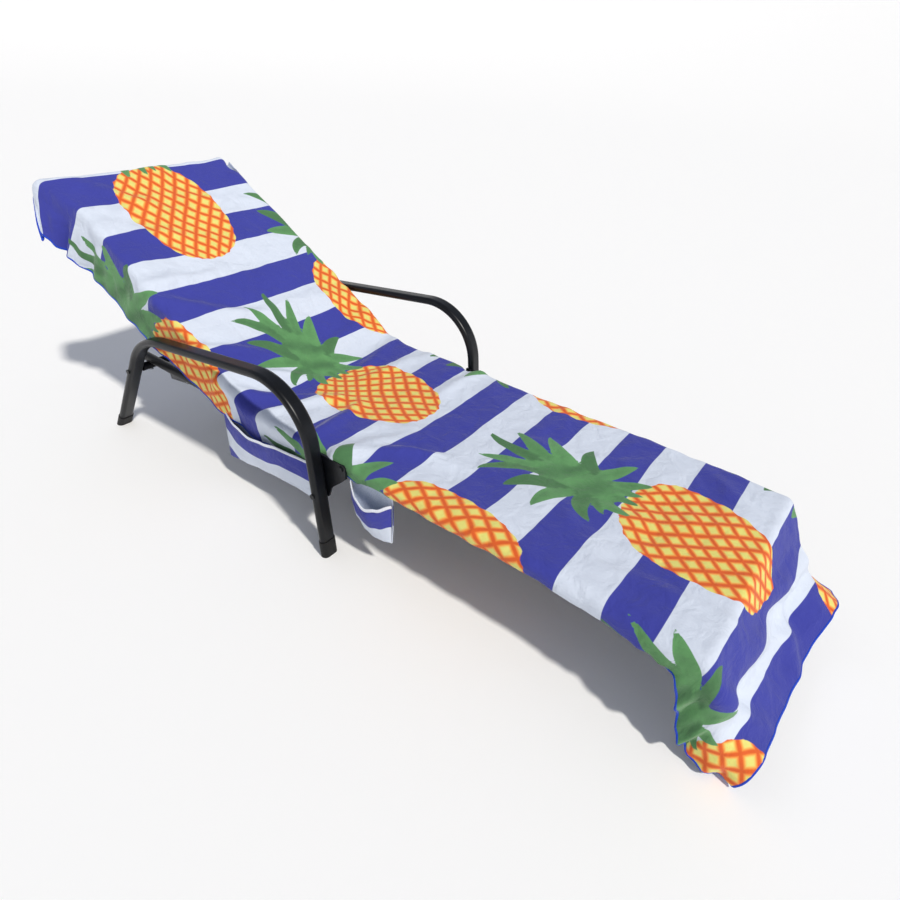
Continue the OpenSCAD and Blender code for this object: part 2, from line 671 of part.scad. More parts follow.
prop_bar();
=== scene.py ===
"""Reclining sun lounger dressed in a fitted, printed beach-towel cover.

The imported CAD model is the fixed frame. This script gives its tubes, bolts, feet and slings their
finishes, and makes the cover, its hood, its side pockets, their bindings and its overlocked edge as
cloth surfaces. X runs from the head end to the foot end, Z is up, and right is -Y.
"""

import json
import logging
import math
from dataclasses import dataclass
from enum import Enum
from typing import Any, Mapping, NamedTuple, Sequence

import bpy
import numpy as np
from mathutils import Matrix, Vector


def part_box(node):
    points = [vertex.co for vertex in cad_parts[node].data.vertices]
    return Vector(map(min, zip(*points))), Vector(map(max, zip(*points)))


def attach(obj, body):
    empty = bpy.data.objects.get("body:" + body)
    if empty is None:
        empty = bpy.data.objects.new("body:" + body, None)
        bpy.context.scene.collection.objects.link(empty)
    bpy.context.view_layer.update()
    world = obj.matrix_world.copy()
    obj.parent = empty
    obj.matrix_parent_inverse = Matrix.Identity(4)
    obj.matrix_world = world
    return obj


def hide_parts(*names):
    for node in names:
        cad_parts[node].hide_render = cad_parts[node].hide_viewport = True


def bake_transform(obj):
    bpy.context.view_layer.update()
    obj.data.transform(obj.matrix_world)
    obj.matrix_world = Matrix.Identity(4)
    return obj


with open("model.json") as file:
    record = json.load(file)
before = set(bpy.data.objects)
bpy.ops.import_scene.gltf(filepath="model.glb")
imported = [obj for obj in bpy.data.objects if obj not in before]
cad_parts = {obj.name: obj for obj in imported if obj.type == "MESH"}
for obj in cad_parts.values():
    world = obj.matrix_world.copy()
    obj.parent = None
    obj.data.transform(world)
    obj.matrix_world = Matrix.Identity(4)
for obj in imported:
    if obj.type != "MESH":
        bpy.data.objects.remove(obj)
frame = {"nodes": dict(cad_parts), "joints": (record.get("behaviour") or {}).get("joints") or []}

Array = np.ndarray
Object = bpy.types.Object
Colour = tuple[float, float, float, float]
Table = list[tuple[float, float]]  # pairs of a place and the value there

MILLIMETRE = 0.001
UV_METRES = 3.0  # one unit of a UV map is this long on the cloth, so that a whole cover fits in it
log = logging.getLogger("lounger")


class Side(Enum):
    """The two long sides of the lounger, as the sign of Y."""

    RIGHT = -1
    LEFT = 1


# ---- small tools ----


def linear(hex_code: str) -> Colour:
    """Turns an sRGB hex colour into a linear one.

    Args:
        hex_code: six hex digits.

    Returns:
        Red, green, blue and an alpha of 1.
    """
    srgb = [int(hex_code[i : i + 2], 16) / 255 for i in (0, 2, 4)]
    red, green, blue = (c / 12.92 if c <= 0.04045 else ((c + 0.055) / 1.055) ** 2.4 for c in srgb)
    return red, green, blue, 1.0


def add_node(
    tree: bpy.types.NodeTree,
    kind: str,
    settings: Mapping[str | int, Any] | None = None,
    links: Mapping[str | int, bpy.types.NodeSocket] | None = None,
) -> bpy.types.Node:
    """Adds a node, with its settings and its links.

    Args:
        tree: the material's node tree.
        kind: the node's type, without its ShaderNode prefix.
        settings: values by the name of a property, or by the name or number of an input.
        links: the sockets that feed the inputs of these names or numbers.

    Returns:
        The new node.
    """
    node = tree.nodes.new("ShaderNode" + kind)
    for key, value in (settings or {}).items():
        if isinstance(key, str) and key in node.bl_rna.properties:
            setattr(node, key, value)
        else:
            node.inputs[key].default_value = value
    for key, socket in (links or {}).items():
        tree.links.new(socket, node.inputs[key])
    return node


def eased(t: Array) -> Array:
    """Smooth rise from 0 to 1, as t rises from 0 to 1: 3t^2 - 2t^3."""
    return t * t * (3 - 2 * t)


def smooth_step(low: float, high: float, x: Array) -> Array:
    """Rises smoothly from 0 where x is low to 1 where it is high."""
    return eased(np.clip((x - low) / (high - low), 0, 1))


def soft_table(x: Array, table: Sequence[tuple[float, float]]) -> Array:
    """Reads a table of (place, value) at x, easing between its entries.

    Args:
        x: places to read at.
        table: pairs in order of place.

    Returns:
        The value at each place.
    """
    places, values = (np.array(column, float) for column in zip(*table))
    i = np.clip(np.searchsorted(places, x) - 1, 0, len(places) - 2)
    t = np.clip((x - places[i]) / (places[i + 1] - places[i]), 0, 1)
    return values[i] + (values[i + 1] - values[i]) * eased(t)


def cloud(x: Array, y: Array, size: float, seed: int) -> Array:
    """Smooth value noise from -1 to 1: random numbers on a square grid, eased between its corners.

    Args:
        x: first coordinate, in metres.
        y: second coordinate, in metres.
        size: side of the grid's squares, in metres.
        seed: seed of the random numbers.

    Returns:
        The noise at each place.
    """
    cells = 97  # a prime number, so that clouds of two sizes don't repeat together
    origin = 40.0  # the square at the origin, well inside the grid
    grid = np.random.default_rng(seed).uniform(-1, 1, (cells, cells))
    gx, gy = x / size + origin, y / size + origin
    ix, iy = np.floor(gx).astype(int), np.floor(gy).astype(int)
    tx, ty = eased(gx - ix), eased(gy - iy)
    a, b = ix % cells, iy % cells
    c, d = (ix + 1) % cells, (iy + 1) % cells
    low = grid[a, b] * (1 - tx) + grid[c, b] * tx
    high = grid[a, d] * (1 - tx) + grid[c, d] * tx
    return low * (1 - ty) + high * ty


def grid_quads(rows: int, cols: int, closed: bool = False) -> Array:
    """Faces of a grid of points, row after row.

    Args:
        rows: number of rows.
        cols: number of points in a row.
        closed: whether each row joins its last point to its first.

    Returns:
        Four point numbers for each face.
    """
    i = np.arange(rows - 1)[:, None] * cols
    j = np.arange(cols if closed else cols - 1)[None, :]
    k = (j + 1) % cols
    return np.stack([i + j, i + cols + j, i + cols + k, i + k], -1).reshape(-1, 4)


def make_piece(
    name: str,
    points: Array,
    quads: Array,
    finishes: Sequence[bpy.types.Material],
    uv: Array | None = None,
    fields: Mapping[str, Array] | None = None,
) -> Object:
    """Puts arrays of points and faces into a mesh object at the origin.

    Args:
        name: the piece's name.
        points: places, one for each point.
        quads: four point numbers for each face.
        finishes: the piece's materials, in the order of its slots.
        uv: two cloth coordinates for each point.
        fields: values for each point, by attribute name; three for a vector and one for a number.

    Returns:
        The new object.
    """
    mesh = bpy.data.meshes.new(name)
    mesh.vertices.add(len(points))
    mesh.vertices.foreach_set("co", points.astype(np.float32).ravel())
    mesh.loops.add(quads.size)
    mesh.loops.foreach_set("vertex_index", quads.astype(np.int32).ravel())
    mesh.polygons.add(len(quads))
    mesh.polygons.foreach_set("loop_start", np.arange(0, quads.size, 4, dtype=np.int32))
    mesh.update(calc_edges=True)
    mesh.validate()
    mesh.shade_smooth()
    if uv is not None:
        layer = mesh.uv_layers.new(name="UVMap")
        layer.data.foreach_set("uv", uv[quads.ravel()].astype(np.float32).ravel())
    for key, values in (fields or {}).items():
        vector = values.ndim == 2
        attribute = mesh.attributes.new(key, "FLOAT_VECTOR" if vector else "FLOAT", "POINT")
        flat = values.astype(np.float32).ravel()
        attribute.data.foreach_set("vector" if vector else "value", flat)
    for finish in finishes:
        mesh.materials.append(finish)
    piece = bpy.data.objects.new(name, mesh)
    bpy.context.scene.collection.objects.link(piece)
    return piece


def thicken(piece: Object, thickness: float, inner_finish: bool) -> None:
    """Gives a sheet its thickness on its inner side.

    Args:
        piece: the sheet.
        thickness: in metres.
        inner_finish: whether the inner side takes the piece's second material.
    """
    wall = piece.modifiers.new("cloth thickness", "SOLIDIFY")
    wall.thickness, wall.offset = thickness, -1.0
    wall.use_rim, wall.use_even_offset = True, False
    wall.material_offset = 1 if inner_finish else 0


def row_normals(points: Array) -> Array:
    """Unit normals of a grid of points, from its rows' and columns' directions: along x across.

    Args:
        points: places, by row and column.

    Returns:
        A unit vector at each place.
    """
    along = np.gradient(points, axis=0)
    across = np.gradient(points, axis=1)
    normal = np.cross(along, across)
    return normal / np.maximum(np.linalg.norm(normal, axis=-1, keepdims=True), 1e-12)


def sweep(path: Array, up: Array, profile: Array, closed: bool) -> tuple[Array, Array]:
    """Carries a closed profile along a path: each point is path + a * side + b * lift.

    Args:
        path: places along the path.
        up: the direction of the profile's second axis at each place.
        profile: closed outline, as (a, b) pairs, counter-clockwise.
        closed: whether the path joins its end to its start.

    Returns:
        Points and faces, with the ends closed on an open path.
    """
    if closed:
        direction = np.roll(path, -1, 0) - np.roll(path, 1, 0)
    else:
        direction = np.gradient(path, axis=0)
    direction = direction / np.linalg.norm(direction, axis=1, keepdims=True)
    side = np.cross(direction, up)
    side = side / np.linalg.norm(side, axis=1, keepdims=True)
    lift = np.cross(side, direction)
    across, over = profile[None, :, :1], profile[None, :, 1:]
    rings = path[:, None] + across * side[:, None] + over * lift[:, None]
    if closed:
        rings = np.concatenate([rings, rings[:1]])
        quads = grid_quads(len(rings), len(profile), True)
        count = len(path) * len(profile)
        return rings[:-1].reshape(-1, 3), quads % count
    ends = [np.repeat(path[i][None, None], len(profile), 1) for i in (0, -1)]
    rings = np.concatenate([ends[0], rings, ends[1]])
    return rings.reshape(-1, 3), grid_quads(len(rings), len(profile), True)


def oval_outline(width: float, height: float, sides: int) -> Array:
    """Ellipse of that width and height: (w/2 cos a, h/2 sin a), counter-clockwise."""
    a = 2 * math.pi * np.arange(sides) / sides
    return np.stack([width / 2 * np.cos(a), height / 2 * np.sin(a)], -1)


# ---- finishes ----


class Finish:
    """A finish: a node-based material, made once."""

    name: str

    def shade(self, tree: bpy.types.NodeTree, shader: bpy.types.Node) -> None:
        """Adds the finish's own nodes."""
        raise NotImplementedError

    def material(self) -> bpy.types.Material:
        """Makes the material on the first call.

        Returns:
            The material, the same one each time.
        """
        made = bpy.data.materials.get(self.name)
        if made is None:
            made = bpy.data.materials.new(self.name)
            made.use_nodes = True
            self.shade(made.node_tree, made.node_tree.nodes["Principled BSDF"])
        return made


def cloth_metres(tree: bpy.types.NodeTree) -> bpy.types.NodeSocket:
    """Cloth coordinates from the UV map, in metres.

    Args:
        tree: the material's node tree.

    Returns:
        The coordinates' socket.
    """
    uv = add_node(tree, "UVMap", {"uv_map": "UVMap"})
    mapping = add_node(tree, "Mapping", {"Scale": (UV_METRES,) * 3}, {"Vector": uv.outputs[0]})
    return mapping.outputs[0]


def plush_height(tree: bpy.types.NodeTree, period: float) -> bpy.types.NodeSocket:
    """Height of a knitted plush: crossed waves, broken up by noise.

    Args:
        tree: the material's node tree.
        period: width of one loop, in metres.

    Returns:
        The height's socket.
    """
    metres = {"Vector": cloth_metres(tree)}
    wave = {"wave_profile": "SIN", "Scale": 1 / (period * 2), "Distortion": 1.5, "Detail": 1.0}
    wales = add_node(tree, "TexWave", {**wave, "bands_direction": "X"}, metres).outputs["Fac"]
    courses = add_node(tree, "TexWave", {**wave, "bands_direction": "Y"}, metres).outputs["Fac"]
    knit = add_node(tree, "Math", {"operation": "ADD"}, {0: wales, 1: courses}).outputs[0]
    pile = add_node(tree, "TexNoise", {"Scale": 1 / (period * 1.7), "Detail": 3.0}, metres).outputs["Fac"]
    both = add_node(tree, "Math", {"operation": "MULTIPLY_ADD", 1: 0.35}, {0: knit, 2: pile})
    return both.outputs[0]


def mix_colours(
    tree: bpy.types.NodeTree,
    factor: bpy.types.NodeSocket,
    first: str | bpy.types.NodeSocket,
    second: str | bpy.types.NodeSocket,
) -> bpy.types.NodeSocket:
    """Mixes two colours: the first where the factor is 0, and the second where it is 1.

    Args:
        tree: the material's node tree.
        factor: the factor's socket.
        first: six hex digits, or a colour's socket.
        second: the same.

    Returns:
        The mixed colour's socket.
    """
    settings: dict[str | int, Any] = {"data_type": "RGBA"}
    links: dict[str | int, bpy.types.NodeSocket] = {0: factor}
    for number, colour in ((6, first), (7, second)):
        if isinstance(colour, str):
            settings[number] = linear(colour)
        else:
            links[number] = colour
    return add_node(tree, "Mix", settings, links).outputs[2]


def feed_shader(
    tree: bpy.types.NodeTree,
    shader: bpy.types.Node,
    sockets: Mapping[str, bpy.types.NodeSocket],
    values: Mapping[str, float | Colour],
) -> None:
    """Feeds a shader's inputs.

    Args:
        tree: the material's node tree.
        shader: the shader.
        sockets: what is linked to the inputs of these names.
        values: fixed values of the other inputs.
    """
    for name, socket in sockets.items():
        tree.links.new(socket, shader.inputs[name])
    for name, value in values.items():
        shader.inputs[name].default_value = value


@dataclass(frozen=True)
class PrintedMicrofibre(Finish):
    """Brushed microfibre towelling, printed by heat transfer.

    It looks matt and a little furry, with crisp stripes and fruit, and fine creases that catch light.
    """

    name: str = "printed_microfibre"
    blue: str = "3B409C"
    white: str = "D3DBE9"
    line: str = "DC5F26"
    rind: str = "EE8A3C"
    flesh: str = "F0B85C"
    heart: str = "E3DA78"
    leaf_dark: str = "4A764C"
    leaf_light: str = "649C62"
    plush: float = 1.6 * MILLIMETRE  # the knit is nearer 0.8 mm; drawn coarser so that it shows
    plush_relief: float = 0.6 * MILLIMETRE
    crease: float = 42 * MILLIMETRE
    crease_relief: float = 11 * MILLIMETRE
    outline: float = 1.2 * MILLIMETRE  # softness of the edges of fruit and leaves
    stripe_sharpness: float = 28.0
    line_blend: float = 0.06  # how far the lattice's lines melt together where they cross
    streak: float = 35 * MILLIMETRE
    patch: float = 110 * MILLIMETRE

    def shade(self, tree: bpy.types.NodeTree, shader: bpy.types.Node) -> None:
        """Stripes, then fruit, then leaves, with creases and plush in the bump.

        Args:
            tree: the material's node tree.
            shader: its main shader.
        """
        metres = {"Vector": cloth_metres(tree)}
        printed = self._leaves(tree, self._fruit(tree, self._stripes(tree)))
        patches = add_node(tree, "TexNoise", {"Scale": 1 / self.patch, "Detail": 4.0}, metres)
        bright = add_node(tree, "MapRange", {3: 0.93, 4: 1.07}, {0: patches.outputs["Fac"]})
        colour = add_node(tree, "HueSaturation", {}, {"Value": bright.outputs[0], "Color": printed})
        noise = {"Scale": 1 / self.crease, "Detail": 5.0, "Roughness": 0.5, "Distortion": 0.5}
        crease = add_node(tree, "TexNoise", noise, metres)
        soft = add_node(
            tree,
            "Bump",
            {"Strength": 0.75, "Distance": self.crease_relief},
            {"Height": crease.outputs["Fac"]},
        )
        fur = add_node(
            tree,
            "Bump",
            {"Strength": 0.35, "Distance": self.plush_relief},
            {"Height": plush_height(tree, self.plush), "Normal": soft.outputs[0]},
        )
        feed_shader(
            tree,
            shader,
            {"Base Color": colour.outputs[0], "Normal": fur.outputs[0]},
            {"Roughness": 0.82, "Sheen Weight": 0.18, "Sheen Roughness": 0.45, "Specular IOR Level": 0.25},
        )

    def _edge(
        self, tree: bpy.types.NodeTree, value: bpy.types.NodeSocket, slope: float
    ) -> bpy.types.NodeSocket:
        """Turns a value into a factor from 0 to 1, with a narrow slope where the value is 0.

        Args:
            tree: the material's node tree.
            value: the value's socket.
            slope: the factor's rise for each unit of the value.

        Returns:
            The factor's socket.
        """
        settings = {"operation": "MULTIPLY_ADD", "use_clamp": True, 1: slope, 2: 0.5}
        return add_node(tree, "Math", settings, {0: value}).outputs[0]

    def _split(self, tree: bpy.types.NodeTree, field_name: str) -> bpy.types.Node:
        """Adds a node that gives the three parts of one of the piece's vector fields."""
        attribute = add_node(tree, "Attribute", {"attribute_name": field_name})
        return add_node(tree, "SeparateXYZ", {}, {0: attribute.outputs["Vector"]})

    def _stripes(self, tree: bpy.types.NodeTree) -> bpy.types.NodeSocket:
        """Blue and white stripes: blue where sin(pi * stripe number) is above 0.

        Args:
            tree: the material's node tree.

        Returns:
            The colour's socket.
        """
        stripe = add_node(tree, "Attribute", {"attribute_name": "stripe"})
        turn = add_node(tree, "Math", {"operation": "MULTIPLY", 1: math.pi}, {0: stripe.outputs["Fac"]})
        wave = add_node(tree, "Math", {"operation": "SINE"}, {0: turn.outputs[0]})
        is_blue = self._edge(tree, wave.outputs[0], self.stripe_sharpness)
        return mix_colours(tree, is_blue, self.white, self.blue)

    def _fruit(self, tree: bpy.types.NodeTree, ground: bpy.types.NodeSocket) -> bpy.types.NodeSocket:
        """Fruit with a diamond lattice, coloured by the distance to the nearer of two crossing lines.

        Args:
            tree: the material's node tree.
            ground: the colour underneath.

        Returns:
            The colour's socket.
        """
        fruit = self._split(tree, "fruit")
        fold = {"operation": "PINGPONG", 1: 0.5}
        one, two = (add_node(tree, "Math", fold, {0: fruit.outputs[axis]}).outputs[0] for axis in "XY")
        gap = add_node(tree, "Math", {"operation": "SMOOTH_MIN", 2: self.line_blend}, {0: one, 1: two})
        cells = add_node(tree, "ValToRGB", {}, {0: gap.outputs[0]})
        ramp = cells.color_ramp
        stops = (
            (0.0, self.line),
            (0.065, self.line),
            (0.145, self.rind),
            (0.22, self.flesh),
            (0.30, self.heart),
        )
        while len(ramp.elements) < len(stops):
            ramp.elements.new(0.5)
        for element, (place, colour) in zip(ramp.elements, stops):
            element.position, element.color = place, linear(colour)
        in_fruit = self._edge(tree, fruit.outputs["Z"], -1 / self.outline)
        return mix_colours(tree, in_fruit, ground, cells.outputs[0])

    def _leaves(self, tree: bpy.types.NodeTree, ground: bpy.types.NodeSocket) -> bpy.types.NodeSocket:
        """Leaves in two greens, by each leaf's own tone and by streaks.

        Args:
            tree: the material's node tree.
            ground: the colour underneath.

        Returns:
            The colour's socket.
        """
        leaf = self._split(tree, "leaf")
        noise = {"Scale": 1 / self.streak, "Detail": 3.0}
        streaks = add_node(tree, "TexNoise", noise, {"Vector": cloth_metres(tree)})
        both = {0: leaf.outputs["Y"], 1: streaks.outputs["Fac"]}
        tone = add_node(tree, "Math", {"operation": "ADD"}, both)
        centred = {"operation": "SUBTRACT", 1: 0.5, "use_clamp": True}
        shift = add_node(tree, "Math", centred, {0: tone.outputs[0]})
        green = mix_colours(tree, shift.outputs[0], self.leaf_dark, self.leaf_light)
        in_leaf = self._edge(tree, leaf.outputs["X"], -1 / self.outline)
        return mix_colours(tree, in_leaf, ground, green)


@dataclass(frozen=True)
class PlainCloth(Finish):
    """Undyed or plain dyed cloth: the towelling's reverse, a binding tape or an overlocked edge.

    It looks matt, with loops or ribs of thread at the given period.
    """

    name: str
    colour: str
    shadow: str
    period: float
    relief: float

    def shade(self, tree: bpy.types.NodeTree, shader: bpy.types.Node) -> None:
        """Two close tones in the hollows and on the loops, with the loops in the bump.

        Args:
            tree: the material's node tree.
            shader: its main shader.
        """
        where = {"Vector": add_node(tree, "TexCoord").outputs["Object"]}
        loops = add_node(tree, "TexVoronoi", {"Scale": 1 / self.period, "Randomness": 0.6}, where)
        tone = mix_colours(tree, loops.outputs["Distance"], self.colour, self.shadow)
        bump = {"Strength": 0.6, "Distance": self.relief, "invert": True}
        relief = add_node(tree, "Bump", bump, {"Height": loops.outputs["Distance"]})
        feed_shader(
            tree,
            shader,
            {"Base Color": tone, "Normal": relief.outputs[0]},
            {"Roughness": 0.88, "Sheen Weight": 0.2, "Specular IOR Level": 0.2},
        )


@dataclass(frozen=True)
class SlingMesh(Finish):
    """PVC-coated polyester mesh, woven in a basket weave.

    It looks dark and slightly shiny, with a fine square grid of raised threads.
    """

    name: str = "woven_sling_mesh"
    warp: str = "2B2E33"
    weft: str = "1B1D21"
    thread: float = 3.2 * MILLIMETRE  # the threads are 1.2 mm; drawn coarser so that they show
    relief: float = 0.8 * MILLIMETRE

    def shade(self, tree: bpy.types.NodeTree, shader: bpy.types.Node) -> None:
        """Crossed waves: warp where one is higher and weft where the other is.

        Args:
            tree: the material's node tree.
            shader: its main shader.
        """
        where = {"Vector": add_node(tree, "TexCoord").outputs["Object"]}
        waves = [
            add_node(tree, "TexWave", {"bands_direction": axis, "Scale": 0.25 / self.thread}, where)
            for axis in "XY"
        ]
        bands = {number: wave.outputs["Fac"] for number, wave in enumerate(waves)}
        weave = add_node(tree, "Math", {"operation": "SUBTRACT"}, bands)
        over = add_node(tree, "Math", {"operation": "MULTIPLY_ADD", 1: 0.5, 2: 0.5}, {0: weave.outputs[0]})
        tone = mix_colours(tree, over.outputs[0], self.warp, self.weft)
        height = add_node(tree, "Math", {"operation": "MAXIMUM"}, bands)
        bump = {"Strength": 0.7, "Distance": self.relief}
        relief = add_node(tree, "Bump", bump, {"Height": height.outputs[0]})
        feed_shader(tree, shader, {"Base Color": tone, "Normal": relief.outputs[0]}, {"Roughness": 0.5})


@dataclass(frozen=True)
class Coating(Finish):
    """A hard surface: powder coat, moulded plastic, nylon or zinc plate.

    Powder coat shows a fine orange peel and a soft gloss, moulded plastic is matt with a spark-eroded
    grain, and zinc plate is a grey metal with cloudy patches.
    """

    name: str
    colour: str
    worn: str
    roughness: float
    metallic: float = 0.0
    grain: float = 1.4 * MILLIMETRE
    relief: float = 0.06 * MILLIMETRE
    specular: float = 0.5
    patch: float = 60 * MILLIMETRE

    def shade(self, tree: bpy.types.NodeTree, shader: bpy.types.Node) -> None:
        """Cloudy colour and roughness at the hand's scale, and the grain in the bump.

        Args:
            tree: the material's node tree.
            shader: its main shader.
        """
        where = {"Vector": add_node(tree, "TexCoord").outputs["Object"]}
        noise = {"Scale": 1 / self.patch, "Detail": 5.0, "Roughness": 0.6}
        patch = {0: add_node(tree, "TexNoise", noise, where).outputs["Fac"]}
        rubbed = add_node(tree, "MapRange", {1: 0.42, 2: 0.72, 3: 0.0, 4: 1.0}, patch)
        tone = mix_colours(tree, rubbed.outputs[0], self.colour, self.worn)
        gloss = add_node(tree, "MapRange", {3: self.roughness * 0.85, 4: self.roughness * 1.2}, patch)
        peel = add_node(tree, "TexNoise", {"Scale": 1 / self.grain, "Detail": 2.0}, where)
        bump = {"Strength": 0.5, "Distance": self.relief}
        relief = add_node(tree, "Bump", bump, {"Height": peel.outputs["Fac"]})
        feed_shader(
            tree,
            shader,
            {"Base Color": tone, "Roughness": gloss.outputs[0], "Normal": relief.outputs[0]},
            {"Metallic": self.metallic, "Specular IOR Level": self.specular},
        )


PRINT = PrintedMicrofibre()
REVERSE = PlainCloth("towelling_reverse", "DDE4F2", "A9B4CC", 2.4 * MILLIMETRE, 0.9 * MILLIMETRE)
TAPE = PlainCloth("white_binding_tape", "F3F5FB", "C9CFDD", 1.5 * MILLIMETRE, 0.3 * MILLIMETRE)
OVERLOCK = PlainCloth("blue_overlock_thread", "1F4FD6", "12309A", 1.8 * MILLIMETRE, 0.7 * MILLIMETRE)


# ---- the printed pattern ----


@dataclass(frozen=True)
class PrintPattern:
    """The cover's print: blue and white stripes across it, with three columns of pineapples."""

    stripe: float = 0.1015  # width of a stripe
    column: float = 0.36  # distance between columns of fruit
    pitch: float = 8.45  # stripes from a fruit to the next in its column
    centre_start: float = 3.55  # stripe number at the middle of a fruit in the centre column
    side_start: float = 7.95  # the same in a side column
    body_length: float = 0.352
    body_width: float = 0.268
    taper: float = 0.12  # how much wider than its middle the body is at its crown end
    squareness: float = 2.35  # power of the body's outline, where 2 gives an ellipse
    scallop: float = 0.0045  # how far the outline steps in where two of the lattice's lines meet it
    crown_room: float = 0.62  # share of the pitch that lies on the crown's side of a fruit's start
    last_crown: float = 23.2  # the middle column has no crown beyond this stripe
    cell_length: float = 0.051
    cell_width: float = 0.043
    cell_narrowing: float = 0.4
    # the crown's core, an ellipse: its centre and its half sizes, towards the head and across
    core: tuple[float, float, float, float] = (0.118, 0.004, 0.112, 0.056)
    # leaves, from the fruit's top: base, bend and tip (towards the head and across), half width, tone
    leaves: tuple[tuple[float, ...], ...] = (
        (0.200, 0.013, 0.298, 0.004, 0.378, 0.038, 0.015, 0.15),
        (0.204, -0.013, 0.284, -0.036, 0.331, -0.058, 0.016, 0.85),
        (0.200, -0.028, 0.284, -0.062, 0.296, -0.120, 0.018, 0.35),
        (0.124, -0.036, 0.205, -0.080, 0.222, -0.130, 0.024, 0.15),
        (0.107, -0.045, 0.140, -0.105, 0.139, -0.158, 0.021, 0.80),
        (0.071, -0.036, 0.078, -0.098, 0.022, -0.115, 0.020, 0.30),
        (0.053, -0.034, 0.040, -0.056, 0.014, -0.079, 0.014, 0.50),
        (0.036, -0.030, 0.004, -0.052, -0.034, -0.048, 0.016, 0.90),
        (0.036, 0.004, 0.006, 0.000, -0.036, 0.006, 0.014, 0.60),
        (0.040, 0.028, 0.008, 0.026, -0.026, 0.038, 0.014, 0.75),
        (0.036, 0.040, 0.000, 0.068, -0.032, 0.084, 0.016, 0.85),
        (0.080, 0.040, 0.056, 0.082, 0.019, 0.135, 0.022, 0.90),
        (0.093, 0.048, 0.138, 0.088, 0.132, 0.129, 0.021, 0.20),
        (0.133, 0.034, 0.200, 0.066, 0.240, 0.108, 0.024, 0.95),
        (0.196, 0.024, 0.250, 0.044, 0.318, 0.080, 0.018, 0.70),
    )

    def fields(self, number: Array, across: Array, fruit_number: Array) -> dict[str, Array]:
        """Works out the print at each point of a cloth.

        A point belongs to the column that is nearest and to one fruit of it. Inside a fruit, two phases
        count the lattice's crossing lines: towards / length + across / width, and the same with a minus.

        Args:
            number: stripe number, whole at each stripe's edge, blue from an even one to an odd one.
            across: distance from the pattern's centre line, in metres.
            fruit_number: the same as number, for the fruit, which the cloth's stretch moves a little.

        Returns:
            The stripe, fruit and leaf fields that the print's material reads.
        """
        column = np.clip(np.rint(across / self.column), -2, 2)
        start = np.where(np.mod(column, 2) == 0, self.centre_start, self.side_start)
        below = self.crown_room * self.pitch
        turn = np.mod(fruit_number - start + below, self.pitch) - below
        half_length, half_width = self.body_length / 2, self.body_width / 2
        towards = -turn * self.stripe - half_length
        aside = across - column * self.column
        x = (towards + half_length) / half_length
        half = half_width * (1 + self.taper * np.clip(x, -1.2, 1.2))
        power = self.squareness
        reach = (np.abs(x) ** power + np.abs(aside / half) ** power) ** (1 / power)
        narrow = np.sqrt(np.maximum(1 - self.cell_narrowing * np.clip(x, -1, 1) ** 2, 0.3))
        rise, slope = towards / self.cell_length, aside / (self.cell_width * narrow)
        one, two = rise + slope, rise - slope
        scallop = np.abs(np.cos(math.pi * one) * np.cos(math.pi * two))
        body = (reach - 1) * half_width + self.scallop * scallop - 1 * MILLIMETRE
        leaf, tone = self._crown(towards, aside)
        leaf = np.where((column == 0) & (number > self.last_crown), 1.0, leaf)
        return {
            "stripe": number,
            "fruit": np.stack([one, two, body], -1),
            "leaf": np.stack([leaf, tone, leaf * 0], -1),
        }

    def _crown(self, towards: Array, aside: Array) -> tuple[Array, Array]:
        """Finds the nearest leaf of a crown.

        A leaf's middle is a quadratic curve, and its half width is 0.9 h (1 - t) (1 + 1.5 t). Along its
        rib it is darker.

        Args:
            towards: distance from the fruit's top towards the head end.
            aside: distance to the left of the fruit's axis.

        Returns:
            Distance outside the nearest leaf, and that leaf's tone.
        """
        a0, b0, ra, rb = self.core
        ring = np.sqrt(((towards - a0) / ra) ** 2 + ((aside - b0) / rb) ** 2)
        best = (ring - 1) * rb
        streaks = np.sin(towards * 70 + aside * 45)
        tone = 0.45 + 0.35 * streaks
        steps, rib_depth, least_width = 26, 0.35, 3 * MILLIMETRE
        for a1, b1, a2, b2, a3, b3, half, own in self.leaves:
            for t in np.linspace(0, 1, steps):
                p, q, r = (1 - t) ** 2, 2 * t * (1 - t), t * t
                width = 0.9 * half * (1 - t) * (1 + 1.5 * t)
                a, b = p * a1 + q * a2 + r * a3, p * b1 + q * b2 + r * b3
                gap = np.hypot(towards - a, aside - b) - width
                inside = 1 - np.clip((gap + width) / max(width, least_width), 0, 1)
                rib = own - rib_depth * inside * (t < 0.9)
                nearer = gap < best
                best = np.where(nearer, gap, best)
                tone = np.where(nearer, rib, tone)
        return best, tone

    def plain(self, number: Array) -> dict[str, Array]:
        """Fields of a cloth that has only stripes."""
        far = np.stack([number * 0, number * 0, number * 0 + 1], -1)
        return {"stripe": number, "fruit": far, "leaf": far[:, ::-1]}


PATTERN = PrintPattern()


# ---- where things are ----


